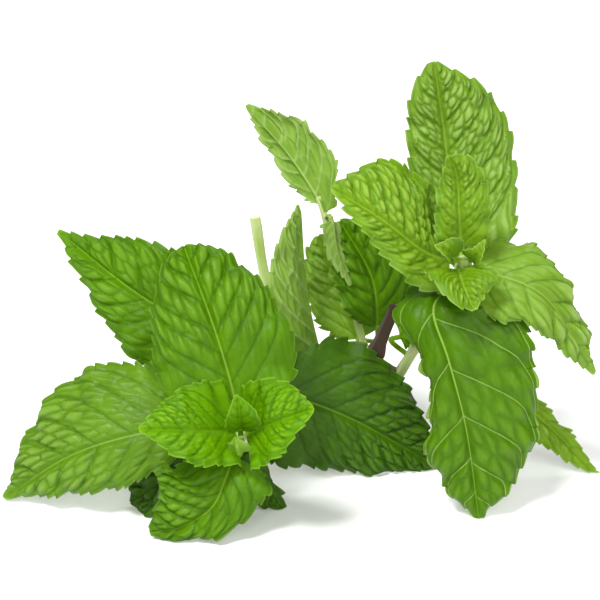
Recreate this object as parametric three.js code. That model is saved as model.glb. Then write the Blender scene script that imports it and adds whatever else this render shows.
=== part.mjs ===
// A cut sprig of mint, lying down and propped on its own leaves.
// Millimetres, +Z up, the surface it lies on at z = 0. Seen from the front (looking along +Y) there
// is a leafy shoot tip at the left and one at the right, both turned towards the front, and the cut
// end of the main stem stands up at the back. Each leaf with its stalk is one piece, and so is each
// length of stem.

import * as THREE from 'three';

// ---- Driving dimensions ------------------------------------------------------------------------

const BLADE_THICKNESS = 0.8; // a leaf, as a plain slab
const STALK_HALF_WIDTH = 0.7; // narrowest half width of a leaf: its stalk and its very tip
const STATIONS = 11; // steps along a leaf
const STRIPS = 3; // steps from the midrib to each margin
const STEM_SIDES = 8; // sides of a stem's section
const MAIN_STEM_RADIUS = 1.5;
const SHOOT_STEM_RADIUS = 1.3;
const SIDE_STEM_RADIUS = 1;
const DRIED_STUB_RADIUS = 1.7;
const STEM_STEP = 5; // length of one step along a stem

// Colours of fresh mint: the youngest leaves are the palest.
const YOUNG_GREEN = 0x9cc53a;
const LEAF_GREEN = 0x5f9a24;
const SHADED_GREEN = 0x3f7420;
const GREY_GREEN = 0x86a35a;
const STEM_GREEN = 0xb3c96d;
const DRIED_BROWN = 0x4a3024;
const LEAF_ROUGHNESS = 0.45;
const STEM_ROUGHNESS = 0.55;

// ---- Leaves ------------------------------------------------------------------------------------
//
// midrib     points from the foot of the stalk to the leaf's tip
// face       the way the upper side looks, half way along
// halfWidth  [left, right] of the midrib, looking at the upper side with the tip up: the widest of
//            each side, or a list from the blade's foot to its tip at even steps
// fold       [left, right] degrees that the blade rises from the midrib
// curl       [left, right] degrees that it turns back down on its way to the margin
// stalk      share of the midrib that is bare stalk
// fullness   where one widest is given: [foot, tip] exponents of the outline, less is rounder

const BLUNT = [0.42, 0.52];
const OVATE = [0.5, 0.62];
const FOOT_SHARE = 0.03; // of the blade, over which a listed outline rounds off to nothing

const LEAVES = [
  // The left shoot, outermost leaves first.
  {
    name: 'left_rear_leaf', colour: LEAF_GREEN, face: [-0.1, -0.9, 0.3],
    midrib: [[-14, 2, 37], [-43, 10, 51], [-67, 20, 67]],
    halfWidth: [[13, 17, 16, 12.5, 8.5, 4.5, 0.2], [8, 14, 16, 15, 11.5, 5, 0.2]],
    fold: [5, 15], curl: [20, 20], stalk: 0.1,
  },
  {
    name: 'left_under_leaf', colour: SHADED_GREEN, face: [-0.2, -0.5, 0.8], fullness: OVATE,
    midrib: [[-18, -15, 28], [-33, -18, 13], [-46, -15, 1]],
    halfWidth: [12, 10], fold: [5, 5], curl: [20, 20], stalk: 0.14,
  },
  {
    name: 'left_shaded_leaf', colour: SHADED_GREEN, face: [0.2, -0.5, 0.8],
    midrib: [[-13, -15, 28], [-10.5, -16, 11], [-4, -17, -1]],
    halfWidth: [[2, 2.5, 2.5, 2.5, 2, 1.5, 0.3], [4, 7, 8, 7.5, 5.5, 3, 0.3]],
    fold: [5, 5], curl: [20, 20], stalk: 0.3,
  },
  {
    name: 'left_spreading_leaf', colour: LEAF_GREEN, face: [-0.05, -0.8, 0.6],
    midrib: [[-18, -20, 27], [-41, -24, 25.5], [-61.5, -20, 17], [-81, -12.5, 1]],
    halfWidth: [[5, 9, 12, 12.5, 10, 5.5, 0.3], [8, 16, 21.3, 21.8, 18.5, 11.3, 0.3]],
    fold: [-8, 4], curl: [25, 20], stalk: 0.1,
  },
  {
    name: 'left_upright_leaf', colour: LEAF_GREEN, face: [0.05, -1, 0.25], fullness: BLUNT,
    midrib: [[-16.5, -22, 30.5], [-18.5, -19.5, 38.5], [-23, -14, 52], [-31, -2, 70]],
    halfWidth: [18.5, 19.5], fold: [8, 8], curl: [25, 30], stalk: 0.06,
  },
  {
    name: 'left_front_leaf', colour: LEAF_GREEN, face: [0.1, -0.9, 0.4],
    midrib: [[-17, -28, 22], [-19.5, -35, 17], [-23, -38.5, 10.5], [-31, -38, 4.5], [-39.5, -36, 2]],
    halfWidth: [[9, 11.5, 10.5, 8, 5.5, 4, 0.5], [9, 12, 15, 17.5, 17, 12, 1]],
    fold: [5, 5], curl: [25, 25], stalk: 0.05,
  },
  {
    name: 'left_inner_leaf_left', colour: YOUNG_GREEN, face: [0, -0.75, 0.65],
    midrib: [[-16, -29, 28], [-29, -40, 33], [-41, -45, 35.5]],
    halfWidth: [[9, 9, 9.3, 8.8, 6.3, 3, 0.3], [14, 13.5, 13, 11, 8, 4.5, 0.3]],
    fold: [5, 5], curl: [15, 15], stalk: 0.02,
  },
  {
    name: 'left_inner_leaf_right', colour: YOUNG_GREEN, face: [0, -0.85, 0.5],
    midrib: [[-14.5, -29, 27.5], [-5.5, -41, 36], [3.5, -46, 41.5]],
    halfWidth: [[8, 11, 12, 11.3, 9.5, 7, 0.5], [9.5, 10, 9.4, 8, 5.5, 3, 0.3]],
    fold: [15, 15], curl: [15, 15], stalk: 0.02,
  },
  {
    name: 'left_bud_leaf_upper', colour: YOUNG_GREEN, face: [0, -0.9, 0.1],
    midrib: [[-15.5, -32.5, 29.5], [-15.5, -38, 37], [-16.5, -39, 42.5]],
    halfWidth: [[3, 4, 3.8, 2.8, 1.6, 0.3], [2.5, 4.8, 5.6, 4.6, 2.6, 0.3]],
    fold: [25, 25], curl: [10, 10], stalk: 0.03,
  },
  {
    name: 'left_bud_leaf_lower', colour: YOUNG_GREEN, face: [0.1, 0.6, 0.8],
    midrib: [[-15.5, -36.5, 25], [-16, -40, 28], [-16.5, -41, 31.5]],
    halfWidth: [[2, 3.5, 3.4, 2.6, 1.4, 0.3], [2, 3.5, 3.4, 2.6, 1.4, 0.3]],
    fold: [30, 30], curl: [10, 10], stalk: 0.03,
  },
  // The low leaves of the middle.
  {
    name: 'middle_dark_leaf', colour: SHADED_GREEN, face: [0, -0.95, 0.25],
    midrib: [[-7, -3, 29], [14, 3, 18], [39, 8, 1]],
    halfWidth: [[10, 18, 20, 18.5, 15, 9, 0.5], [15, 20, 19, 16, 13, 8, 0.5]],
    fold: [0, 0], curl: [15, 15], stalk: 0.04,
  },
  {
    name: 'middle_hidden_leaf', colour: LEAF_GREEN, face: [0, -0.8, 0.6],
    midrib: [[26, 18, 36], [39, 19, 38], [53, 16, 33]],
    halfWidth: [[8, 10, 10, 10, 8, 5, 0.5], [3, 5, 6, 6, 5, 3, 0.5]],
    fold: [10, 10], curl: [20, 20], stalk: 0.08,
  },
  {
    name: 'middle_floor_leaf', colour: SHADED_GREEN, face: [0, 0.1, 1], fullness: OVATE,
    midrib: [[14, 30, 4], [18, 46, 6], [26, 64, -1]],
    halfWidth: [13, 13], fold: [8, 8], curl: [20, 20], stalk: 0.12,
  },
  // The side shoot and the old leaves behind it.
  {
    name: 'rear_lance_leaf', colour: GREY_GREEN, face: [0.2, 0.95, 0.2],
    midrib: [[7, 22, 71.5], [4.5, 23.5, 77], [-3.5, 29, 87.5], [-15, 35, 99]],
    halfWidth: [[3.5, 5, 8.5, 10.5, 9.5, 6, 0.3], [0.8, 1, 4, 5.5, 5, 3.4, 0.3]],
    fold: [10, 10], curl: [20, 20], stalk: 0.02,
  },
  {
    name: 'rear_small_leaf', colour: GREY_GREEN, face: [-0.5, 0.85, -0.1],
    midrib: [[8.5, 18, 71.5], [10, 15, 63], [14, 13, 53.5]],
    halfWidth: [[2.5, 3, 2.8, 2.4, 1.8, 1, 0.2], [2, 2.4, 2.2, 1.8, 1.4, 0.8, 0.2]],
    fold: [20, 20], curl: [20, 20], stalk: 0.06,
  },
  {
    name: 'rear_folded_leaf', colour: GREY_GREEN, face: [-0.3, -0.95, 0.1],
    midrib: [[5, 17, 29.5], [1, 17, 51], [-0.5, 22, 74]],
    halfWidth: [[2, 9, 8, 5, 3, 2, 0.3], [8, 13, 17, 16, 13, 8, 0.5]],
    fold: [0, 70], curl: [10, -95], stalk: 0.04,
  },
  {
    name: 'rear_glossy_leaf', colour: LEAF_GREEN, face: [-0.1, -0.95, 0.3], fullness: OVATE,
    midrib: [[17, 24, 31], [13, 30, 45], [5, 34, 61]],
    halfWidth: [11, 10], fold: [10, 10], curl: [20, 20], stalk: 0.08,
  },
  {
    name: 'rear_dark_leaf', colour: SHADED_GREEN, face: [0.1, -0.95, 0.2], fullness: OVATE,
    midrib: [[22, 20, 35], [20, 17, 54], [11, 20, 70]],
    halfWidth: [10, 12], fold: [10, 10], curl: [20, 20], stalk: 0.1,
  },
  // The right shoot, outermost leaves first.
  {
    name: 'right_floor_leaf', colour: GREY_GREEN, face: [0.3, -0.9, 0.5],
    midrib: [[36, 11, 37], [64, 10, 18], [84, 6, -1]],
    halfWidth: [[3, 3.5, 3.8, 3.5, 3, 2, 0.3], [3, 5, 6, 6, 5, 3, 0.3]],
    fold: [10, 10], curl: [20, 20], stalk: 0.1,
  },
  {
    name: 'right_upright_leaf', colour: LEAF_GREEN, face: [0.05, -1, 0.15],
    midrib: [[42, -1, 64], [39, 6, 94], [35, 4, 119]],
    halfWidth: [[10, 10.5, 11, 10.3, 9.3, 7.6, 1.5], [14, 17.5, 18, 18, 15.5, 10.5, 0.5]],
    fold: [15, 10], curl: [25, 25], stalk: 0.03,
  },
  {
    name: 'right_hanging_leaf', colour: LEAF_GREEN, face: [0.05, -1, 0.1],
    midrib: [[40, -7, 61], [35, -16, 57], [39, -22, 45], [44, -24, 26], [48, -24, 0]],
    halfWidth: [[13, 17, 20.5, 22, 20.5, 17, 1], [12, 12, 9, 7.5, 9, 12, 1]],
    fold: [5, 5], curl: [25, 60], stalk: 0.03,
  },
  {
    name: 'right_pale_leaf', colour: YOUNG_GREEN, face: [0.1, -0.8, 0.6],
    midrib: [[40.5, -7, 67.5], [32.5, -10, 71.5], [20.5, -14, 82], [8, -14, 90]],
    halfWidth: [[8, 9.5, 9.5, 7.8, 6, 3.4, 0.3], [5, 5.5, 8, 14.5, 15.5, 12.5, 1]],
    fold: [10, 10], curl: [20, 15], stalk: 0.03,
  },
  {
    name: 'right_arching_leaf', colour: LEAF_GREEN, face: [0.3, -0.7, 0.7],
    midrib: [[45, -8, 66.5], [64, -16, 61], [79, -11, 37]],
    halfWidth: [[12, 13.5, 12.5, 10.5, 7.5, 5, 0.5], [6, 12, 12, 9.5, 7, 4, 0.5]],
    fold: [5, 5], curl: [25, 30], stalk: 0.03,
  },
  {
    name: 'right_inner_upright_leaf', colour: YOUNG_GREEN, face: [0, -1, 0.2],
    midrib: [[42.5, -10, 71.5], [41.5, -12, 82], [40.5, -13, 93], [38, -17, 99.5]],
    halfWidth: [[5, 6.5, 6.2, 5.5, 4, 2.4, 0.5], [6, 7.5, 8, 7.8, 6.4, 4.8, 1]],
    fold: [15, 15], curl: [20, 20], stalk: 0.04,
  },
  {
    name: 'right_inner_front_leaf', colour: YOUNG_GREEN, face: [0.1, -0.8, 0.6],
    midrib: [[41.5, -14.5, 68], [42.5, -24, 66], [45, -27, 61]],
    halfWidth: [[7, 7.5, 9, 10, 6.5, 3, 0.3], [9.5, 9.5, 8, 6.5, 5, 3, 0.3]],
    fold: [15, 20], curl: [20, 20], stalk: 0.02,
  },
  {
    name: 'right_bud_leaf_left', colour: YOUNG_GREEN, face: [0.3, -0.9, 0.3],
    midrib: [[40.2, -15.5, 71], [37.8, -20.5, 75], [34.5, -22, 77]],
    halfWidth: [[2, 2.2, 2, 1.8, 1.4, 0.8, 0.2], [3, 4.6, 4.8, 4.2, 2.8, 1.2, 0.2]],
    fold: [25, 25], curl: [10, 10], stalk: 0.03,
  },
  {
    name: 'right_bud_leaf_right', colour: YOUNG_GREEN, face: [-0.3, -0.9, 0.3],
    midrib: [[44.6, -15.5, 70.8], [46, -20.5, 74], [47.5, -22, 78.5]],
    halfWidth: [[2.5, 3.4, 3.5, 2.5, 1.8, 1, 0.2], [1.5, 1.8, 1.8, 1.6, 1.3, 0.8, 0.2]],
    fold: [25, 25], curl: [10, 10], stalk: 0.03,
  },
];

// ---- Stems: each runs smoothly through its points ----------------------------------------------

const STEMS = [
  {
    name: 'main_stem', colour: STEM_GREEN, radius: MAIN_STEM_RADIUS,
    route: [[-13, 45, 63], [-10, 42, 45], [-4, 37, 25], [4, 31, 10], [11, 27, 5]],
  },
  {
    name: 'left_shoot_stem', colour: STEM_GREEN, radius: SHOOT_STEM_RADIUS,
    route: [[10, 24, 8], [0, 14, 23], [-10, 0, 32], [-15, -14, 31], [-15, -24, 26]],
  },
  {
    name: 'right_shoot_stem', colour: STEM_GREEN, radius: SHOOT_STEM_RADIUS,
    route: [[14, 25, 6], [22, 22, 14], [28, 17, 26], [33, 11, 38], [38, 4, 51], [43, -11, 67]],
  },
  {
    name: 'side_shoot_stem', colour: STEM_GREEN, radius: SIDE_STEM_RADIUS,
    route: [[20, 24, 16], [18, 21, 33], [11, 20, 57], [7.6, 21.2, 68.5]],
  },
  {
    name: 'dried_stub', colour: DRIED_BROWN, radius: DRIED_STUB_RADIUS,
    route: [[21, 14.5, 31], [22, 13, 36], [23.6, 12, 41], [26, 10, 48]],
  },
];

// ---- Geometry ----------------------------------------------------------------------------------

const radians = THREE.MathUtils.degToRad;

/** A smooth curve through a list of [x, y, z] points. */
function smoothCurve(points) {
  return new THREE.CatmullRomCurve3(points.map((p) => new THREE.Vector3(...p)), false, 'catmullrom');
}

/** Half width of one side of a leaf at u (0 at the foot of the blade, 1 at its tip). */
function halfWidthAt(leaf, side, u) {
  const given = leaf.halfWidth[side];
  if (Array.isArray(given)) {
    const profile = smoothCurve(given.map((width) => [width, 0, 0]));
    return profile.getPoint(u).x * Math.sqrt(Math.min(u / FOOT_SHARE, 1));
  }
  const [foot, tip] = leaf.fullness;
  const widest = foot / (foot + tip);
  const shape = (t) => t ** foot * (1 - t) ** tip;
  return (given * shape(u)) / shape(widest);
}

/** The blade's normal at every station: square to the midrib and carried along it without spin. */
function midribNormals(curve, face) {
  const middle = Math.round(STATIONS / 2);
  const normals = [];
  const square = (vector, station) => {
    const tangent = curve.getTangent(station / STATIONS);
    return vector.clone().addScaledVector(tangent, -vector.dot(tangent)).normalize();
  };
  normals[middle] = square(new THREE.Vector3(...face), middle);
  for (let station = middle + 1; station <= STATIONS; station += 1) {
    normals[station] = square(normals[station - 1], station);
  }
  for (let station = middle - 1; station >= 0; station -= 1) {
    normals[station] = square(normals[station + 1], station);
  }
  return normals;
}

/** One row of the blade: points and normals from the left margin to the right one. */
function crossSection(centre, across, normal, halfWidths, leaf) {
  const row = [{ point: centre.clone(), normal: normal.clone() }];
  for (const side of [0, 1]) {
    const outward = side === 0 ? -1 : 1;
    const point = centre.clone();
    for (let strip = 1; strip <= STRIPS; strip += 1) {
      const slope = radians(leaf.fold[side] - (leaf.curl[side] * (strip - 0.5)) / STRIPS);
      const step = halfWidths[side] / STRIPS;
      point.addScaledVector(across, outward * step * Math.cos(slope));
      point.addScaledVector(normal, step * Math.sin(slope));
      const tilted = normal.clone().multiplyScalar(Math.cos(slope));
      tilted.addScaledVector(across, -outward * Math.sin(slope));
      const entry = { point: point.clone(), normal: tilted };
      if (side === 0) {
        row.unshift(entry);
      } else {
        row.push(entry);
      }
    }
  }
  return row;
}

/** The leaf's two faces as a closed slab, pressed flat where it would go below the surface. */
function leafGeometry(leaf) {
  const curve = smoothCurve(leaf.midrib);
  const normals = midribNormals(curve, leaf.face);
  const across = 2 * STRIPS + 1;
  const faces = [[], []];
  for (let station = 0; station <= STATIONS; station += 1) {
    const along = station / STATIONS;
    const tangent = curve.getTangent(along);
    const normal = normals[station];
    const sideways = new THREE.Vector3().crossVectors(tangent, normal);
    const u = THREE.MathUtils.clamp((along - leaf.stalk) / (1 - leaf.stalk), 0, 1);
    const halfWidths = [0, 1].map((side) => Math.max(halfWidthAt(leaf, side, u), STALK_HALF_WIDTH));
    const row = crossSection(curve.getPoint(along), sideways, normal, halfWidths, leaf);
    for (const { point, normal: up } of row) {
      point.z = Math.max(point.z, BLADE_THICKNESS / 2);
      faces[0].push(point.clone().addScaledVector(up, BLADE_THICKNESS / 2));
      faces[1].push(point.clone().addScaledVector(up, -BLADE_THICKNESS / 2));
    }
  }
  return closedSlab(faces[0], faces[1], STATIONS + 1, across);
}

/** Joins an upper and a lower grid of points (rows by columns) with a wall round their edge. */
function closedSlab(upper, lower, rows, columns) {
  const positions = [...upper, ...lower].flatMap((p) => [p.x, p.y, p.z]);
  const below = upper.length;
  const indices = [];
  const quad = (a, b, c, d) => indices.push(a, b, c, a, c, d);
  for (let row = 0; row < rows - 1; row += 1) {
    for (let column = 0; column < columns - 1; column += 1) {
      const corner = row * columns + column;
      quad(corner, corner + 1, corner + columns + 1, corner + columns);
      quad(
        below + corner,
        below + corner + columns,
        below + corner + columns + 1,
        below + corner + 1,
      );
    }
  }
  const rim = [];
  for (let column = 0; column < columns - 1; column += 1) {
    rim.push(column);
  }
  for (let row = 0; row < rows - 1; row += 1) {
    rim.push(row * columns + columns - 1);
  }
  for (let column = columns - 1; column > 0; column -= 1) {
    rim.push((rows - 1) * columns + column);
  }
  for (let row = rows - 1; row > 0; row -= 1) {
    rim.push(row * columns);
  }
  rim.forEach((start, index) => {
    const end = rim[(index + 1) % rim.length];
    quad(below + start, below + end, end, start);
  });
  const geometry = new THREE.BufferGeometry();
  geometry.setAttribute('position', new THREE.Float32BufferAttribute(positions, 3));
  geometry.setIndex(indices);
  geometry.computeVertexNormals();
  return geometry;
}

/** A stem: an even section with STEM_SIDES sides swept along its route. */
function stemGeometry(stem) {
  const path = smoothCurve(stem.route);
  const corners = [];
  for (let side = 0; side < STEM_SIDES; side += 1) {
    const angle = (2 * Math.PI * side) / STEM_SIDES;
    corners.push(new THREE.Vector2(Math.cos(angle), Math.sin(angle)).multiplyScalar(stem.radius));
  }
  return new THREE.ExtrudeGeometry(new THREE.Shape(corners), {
    extrudePath: path,
    steps: Math.round(path.getLength() / STEM_STEP),
    bevelEnabled: false,
  });
}

/** A named piece with a material of its own. */
function piece(name, geometry, colour, roughness) {
  const material = new THREE.MeshStandardMaterial({ color: colour, roughness, metalness: 0 });
  const mesh = new THREE.Mesh(geometry, material);
  mesh.name = name;
  return mesh;
}

// ---- Assembly ----------------------------------------------------------------------------------

const sprig = new THREE.Group();
for (const stem of STEMS) {
  sprig.add(piece(stem.name, stemGeometry(stem), stem.colour, STEM_ROUGHNESS));
}
for (const leaf of LEAVES) {
  sprig.add(piece(leaf.name, leafGeometry(leaf), leaf.colour, LEAF_ROUGHNESS));
}

// The origin is the middle of the sprig's box, on the surface that it lies on.
const box = new THREE.Box3().setFromObject(sprig);
const middle = box.getCenter(new THREE.Vector3());
sprig.position.set(-middle.x, -middle.y, -box.min.z);

export default sprig;
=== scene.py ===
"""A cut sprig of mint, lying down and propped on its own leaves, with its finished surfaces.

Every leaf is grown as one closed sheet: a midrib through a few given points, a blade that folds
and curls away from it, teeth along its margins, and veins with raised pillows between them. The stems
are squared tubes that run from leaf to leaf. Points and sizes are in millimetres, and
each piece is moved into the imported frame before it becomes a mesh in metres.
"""

import logging
import math
from dataclasses import dataclass
from enum import Enum

import bpy
import numpy as np
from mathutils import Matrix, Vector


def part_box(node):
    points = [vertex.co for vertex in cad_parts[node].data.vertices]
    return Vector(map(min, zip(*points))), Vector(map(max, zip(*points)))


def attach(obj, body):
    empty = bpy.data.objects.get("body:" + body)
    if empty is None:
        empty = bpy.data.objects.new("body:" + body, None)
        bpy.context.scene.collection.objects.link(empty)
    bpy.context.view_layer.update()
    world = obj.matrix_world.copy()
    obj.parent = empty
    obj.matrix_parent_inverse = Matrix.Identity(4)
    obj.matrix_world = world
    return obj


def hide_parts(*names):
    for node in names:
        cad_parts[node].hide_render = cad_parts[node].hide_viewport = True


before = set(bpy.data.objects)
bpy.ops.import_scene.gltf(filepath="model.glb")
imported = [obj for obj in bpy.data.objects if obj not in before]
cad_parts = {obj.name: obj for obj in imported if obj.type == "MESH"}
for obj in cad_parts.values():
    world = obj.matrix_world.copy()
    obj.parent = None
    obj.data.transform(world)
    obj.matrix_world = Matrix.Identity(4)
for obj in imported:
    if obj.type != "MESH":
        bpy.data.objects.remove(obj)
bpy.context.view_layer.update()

MM = 0.001
BODY = "root"
Array = np.ndarray
Point = tuple[float, float, float]
Pair = tuple[float, float]
Widths = tuple[float, ...]
log = logging.getLogger("mint_sprig")

# ---- Measures shared by every leaf, in millimetres ----------------------------------------------

GRID_STEP = 0.36  # between neighbouring points of a blade
SPINE_SAMPLES = 500  # points worked out along a midrib
HALF_THICKNESS = 0.14  # of the blade between its veins
RIM_HALF_THICKNESS = 0.07  # at the margin
STALK_HALF_WIDTH = 0.75  # of a leaf's bare stalk
TIP_HALF_WIDTH = 0.06  # where the two margins meet
REST_HEIGHT = 0.25  # of a blade's middle layer where it is pressed on the surface
PRESS_SOFTNESS = 0.5  # how gradually a blade flattens on to the surface
FLOOR_GAP = 0.02  # between the surface and a blade's underside
TOOTH_REACH = 3.6  # how far in from the margin a tooth still pulls the blade
FOOT_SHARE = 0.03  # share of a blade over which its foot rounds off

# The plain slab that the frame holds for each leaf, for finding where the frame has put it.
SLAB_STATIONS = 11
SLAB_STRIPS = 3
SLAB_THICKNESS = 0.8
SLAB_EDGE = 0.7


# ---- Small sums ---------------------------------------------------------------------------------


def unit(vectors: Array) -> Array:
    """Scales vectors to length one.

    Args:
        vectors: any number of vectors, along the last axis.

    Returns:
        The same vectors, each divided by its length.
    """
    return vectors / np.maximum(np.linalg.norm(vectors, axis=-1, keepdims=True), 1e-12)


def eased(value: Array | float, low: float, high: float) -> Array:
    """A smooth step: 0 below low, 1 above high, and 3t^2 - 2t^3 of the share t between them.

    Args:
        value: what is stepped.
        low: where the step starts.
        high: where it is done.

    Returns:
        The step's height at every value.
    """
    share = np.clip((np.asarray(value) - low) / (high - low), 0, 1)
    return share * share * (3 - 2 * share)


def bell(distance: Array, width: float | Array) -> Array:
    """A bell curve: e to the power of minus the square of distance over width.

    Args:
        distance: from the middle of the bell.
        width: distance at which it has fallen to a third.

    Returns:
        The curve's height at every distance, 1 in the middle.
    """
    return np.exp(-((distance / width) ** 2))


def hermite(start: Array, end: Array, leaving: Array, arriving: Array, share: Array) -> Array:
    """The cubic from start to end that leaves and arrives with the given slopes.

    Args:
        start: where it starts.
        end: where it ends.
        leaving: its slope at the start.
        arriving: its slope at the end.
        share: how far along, from 0 to 1.

    Returns:
        The points at those shares.
    """
    t2, t3 = share**2, share**3
    return (
        (2 * t3 - 3 * t2 + 1) * start
        + (t3 - 2 * t2 + share) * leaving
        + (3 * t2 - 2 * t3) * end
        + (t3 - t2) * arriving
    )


def through(points: tuple[Point, ...], share: Array) -> Array:
    """Points on a smooth line through given points.

    Between two of them the line is the cubic whose end slopes are half the step between their
    neighbours, and it carries straight on past its two ends.

    Args:
        points: the given points.
        share: how far along, from 0 at the first point to 1 at the last, each span counting the same.

    Returns:
        One point for each share.
    """
    given = np.array(points, float)
    padded = np.vstack([2 * given[0] - given[1], given, 2 * given[-1] - given[-2]])
    spans = len(given) - 1
    place = np.clip(share, 0, 1) * spans
    span = np.minimum(place.astype(int), spans - 1)
    before, start, end, after = (padded[span + step] for step in range(4))
    part = (place - span)[:, None]
    return hermite(start, end, (end - before) / 2, (after - start) / 2, part)


def run_of(line: Array) -> Array:
    """Length run along a line of points, from 0 at the first.

    Args:
        line: the points, one to a row.

    Returns:
        The length at each point.
    """
    return np.concatenate([[0.0], np.cumsum(np.linalg.norm(np.diff(line, axis=0), axis=1))])


def carried(tangents: Array, facing: Array, start: int) -> Array:
    """Carries a direction along a line without letting it spin about the line.

    Args:
        tangents: the line's direction at each station.
        facing: the direction wanted at the start station, there made square to the line.
        start: the station it is given at.

    Returns:
        A direction square to the line at every station, each the last one squared again.
    """
    made = np.empty_like(tangents)
    onward = [(station, 1) for station in range(start + 1, len(tangents))]
    back = [(station, -1) for station in range(start - 1, -1, -1)]
    made[start] = unit(facing - (facing @ tangents[start]) * tangents[start])
    for station, step in onward + back:
        last = made[station - step]
        made[station] = unit(last - (last @ tangents[station]) * tangents[station])
    return made


def scattered_cells(
    across: Array, along: Array, chance: np.random.Generator, wobble: float
) -> tuple[Array, Array]:
    """Distances to the nearest and second nearest of points scattered one to a unit square.

    Args:
        across: first coordinate, in squares.
        along: second coordinate, in squares.
        chance: where the scatter comes from.
        wobble: how far the points stray, as a share of a square.

    Returns:
        The two distances, in squares. They are equal on the line between two cells.
    """
    side = 64  # squares before the scatter repeats
    stray = (chance.random((side, side, 2)) - 0.5) * wobble
    column, row = np.floor(across).astype(int), np.floor(along).astype(int)
    found = []
    for right in (-1, 0, 1):
        for up in (-1, 0, 1):
            shift = stray[(column + right) % side, (row + up) % side]
            gap_across = column + right + 0.5 + shift[..., 0] - across
            gap_along = row + up + 0.5 + shift[..., 1] - along
            found.append(np.hypot(gap_across, gap_along))
    ordered = np.partition(np.stack(found), 1, axis=0)
    return ordered[0], ordered[1]


# ---- Meshes -------------------------------------------------------------------------------------


def sheet_faces(rows: int, columns: int) -> tuple[Array, Array, Array]:
    """Faces of a closed sheet: an upper grid, a lower grid after it, and a wall round their edge.

    Args:
        rows: rows of each grid.
        columns: columns of each grid.

    Returns:
        The upper faces, the lower faces and the wall's, four corners to a row.
    """
    grid = np.arange(rows * columns).reshape(rows, columns)
    a, b, c, d = grid[:-1, :-1], grid[:-1, 1:], grid[1:, 1:], grid[1:, :-1]
    upper = np.stack([a, b, c, d], -1).reshape(-1, 4)
    lower = upper[:, ::-1] + rows * columns
    edge = np.concatenate([grid[0, :-1], grid[:-1, -1], grid[-1, :0:-1], grid[:0:-1, 0]])
    ahead = np.roll(edge, -1)
    wall = np.stack([edge + rows * columns, ahead + rows * columns, ahead, edge], -1)
    return upper, lower, wall


def make_piece(
    name: str, points: Array, faces: list[Array], materials: list[bpy.types.Material], slots: Array
) -> bpy.types.Object:
    """Makes a smooth-shaded mesh object at the origin.

    Args:
        name: the piece's name.
        points: its points in millimetres, in the frame.
        faces: arrays of faces, each with a fixed number of corners.
        materials: its materials.
        slots: which material each face takes.

    Returns:
        The object, linked into the scene.
    """
    corners = [len(group) * [group.shape[1]] for group in faces if len(group)]
    counts = np.concatenate(corners).astype(np.int32)
    starts = np.concatenate([[0], np.cumsum(counts)[:-1]]).astype(np.int32)
    mesh = bpy.data.meshes.new(name)
    mesh.vertices.add(len(points))
    mesh.vertices.foreach_set("co", (points * MM).astype(np.float32).ravel())
    mesh.loops.add(int(counts.sum()))
    mesh.loops.foreach_set("vertex_index", np.concatenate([g.ravel() for g in faces]).astype(np.int32))
    mesh.polygons.add(len(counts))
    mesh.polygons.foreach_set("loop_start", starts)
    for material in materials:
        mesh.materials.append(material)
    mesh.polygons.foreach_set("material_index", slots.astype(np.int32))
    mesh.update(calc_edges=True)
    mesh.shade_smooth()
    made = bpy.data.objects.new(name, mesh)
    bpy.context.scene.collection.objects.link(made)
    return made


def note_points(piece: bpy.types.Object, name: str, values: Array) -> None:
    """Writes a number or a vector on every point of a piece, for its material to read.

    Args:
        piece: the piece.
        name: the attribute's name.
        values: one number, or three, for each point.
    """
    kind, key = ("FLOAT_VECTOR", "vector") if values.ndim == 2 else ("FLOAT", "value")
    made = piece.data.attributes.new(name, kind, "POINT")
    made.data.foreach_set(key, values.astype(np.float32).ravel())


# ---- Finishes -----------------------------------------------------------------------------------


def linear(colour: str) -> tuple[float, float, float, float]:
    """Turns an sRGB hex colour into the linear one that a shader takes.

    Args:
        colour: six hex digits.

    Returns:
        Red, green, blue and an alpha of one.
    """
    shares = [int(colour[place : place + 2], 16) / 255 for place in (0, 2, 4)]
    red, green, blue = (
        share / 12.92 if share <= 0.04045 else ((share + 0.055) / 1.055) ** 2.4 for share in shares
    )
    return red, green, blue, 1.0


def add_node(tree: bpy.types.NodeTree, kind: str, inputs: dict | None = None, **settings) -> bpy.types.Node:
    """Adds one shader node with its settings, values and links.

    Args:
        tree: the material's node tree.
        kind: the node's type, without its usual prefix.
        inputs: for each socket, by name or number, a value or the output that feeds it.
        **settings: the node's own properties.

    Returns:
        The node.
    """
    node = tree.nodes.new("ShaderNode" + kind)
    for name, value in settings.items():
        setattr(node, name, value)
    for name, value in (inputs or {}).items():
        if isinstance(value, bpy.types.NodeSocket):
            tree.links.new(value, node.inputs[name])
        else:
            node.inputs[name].default_value = value
    return node


def new_material(name: str) -> tuple[bpy.types.Material, bpy.types.NodeTree]:
    """An empty node material.

    Args:
        name: what it is called.

    Returns:
        The material and its node tree.
    """
    material = bpy.data.materials.new(name)
    material.use_nodes = True
    material.node_tree.nodes.clear()
    return material, material.node_tree


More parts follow.
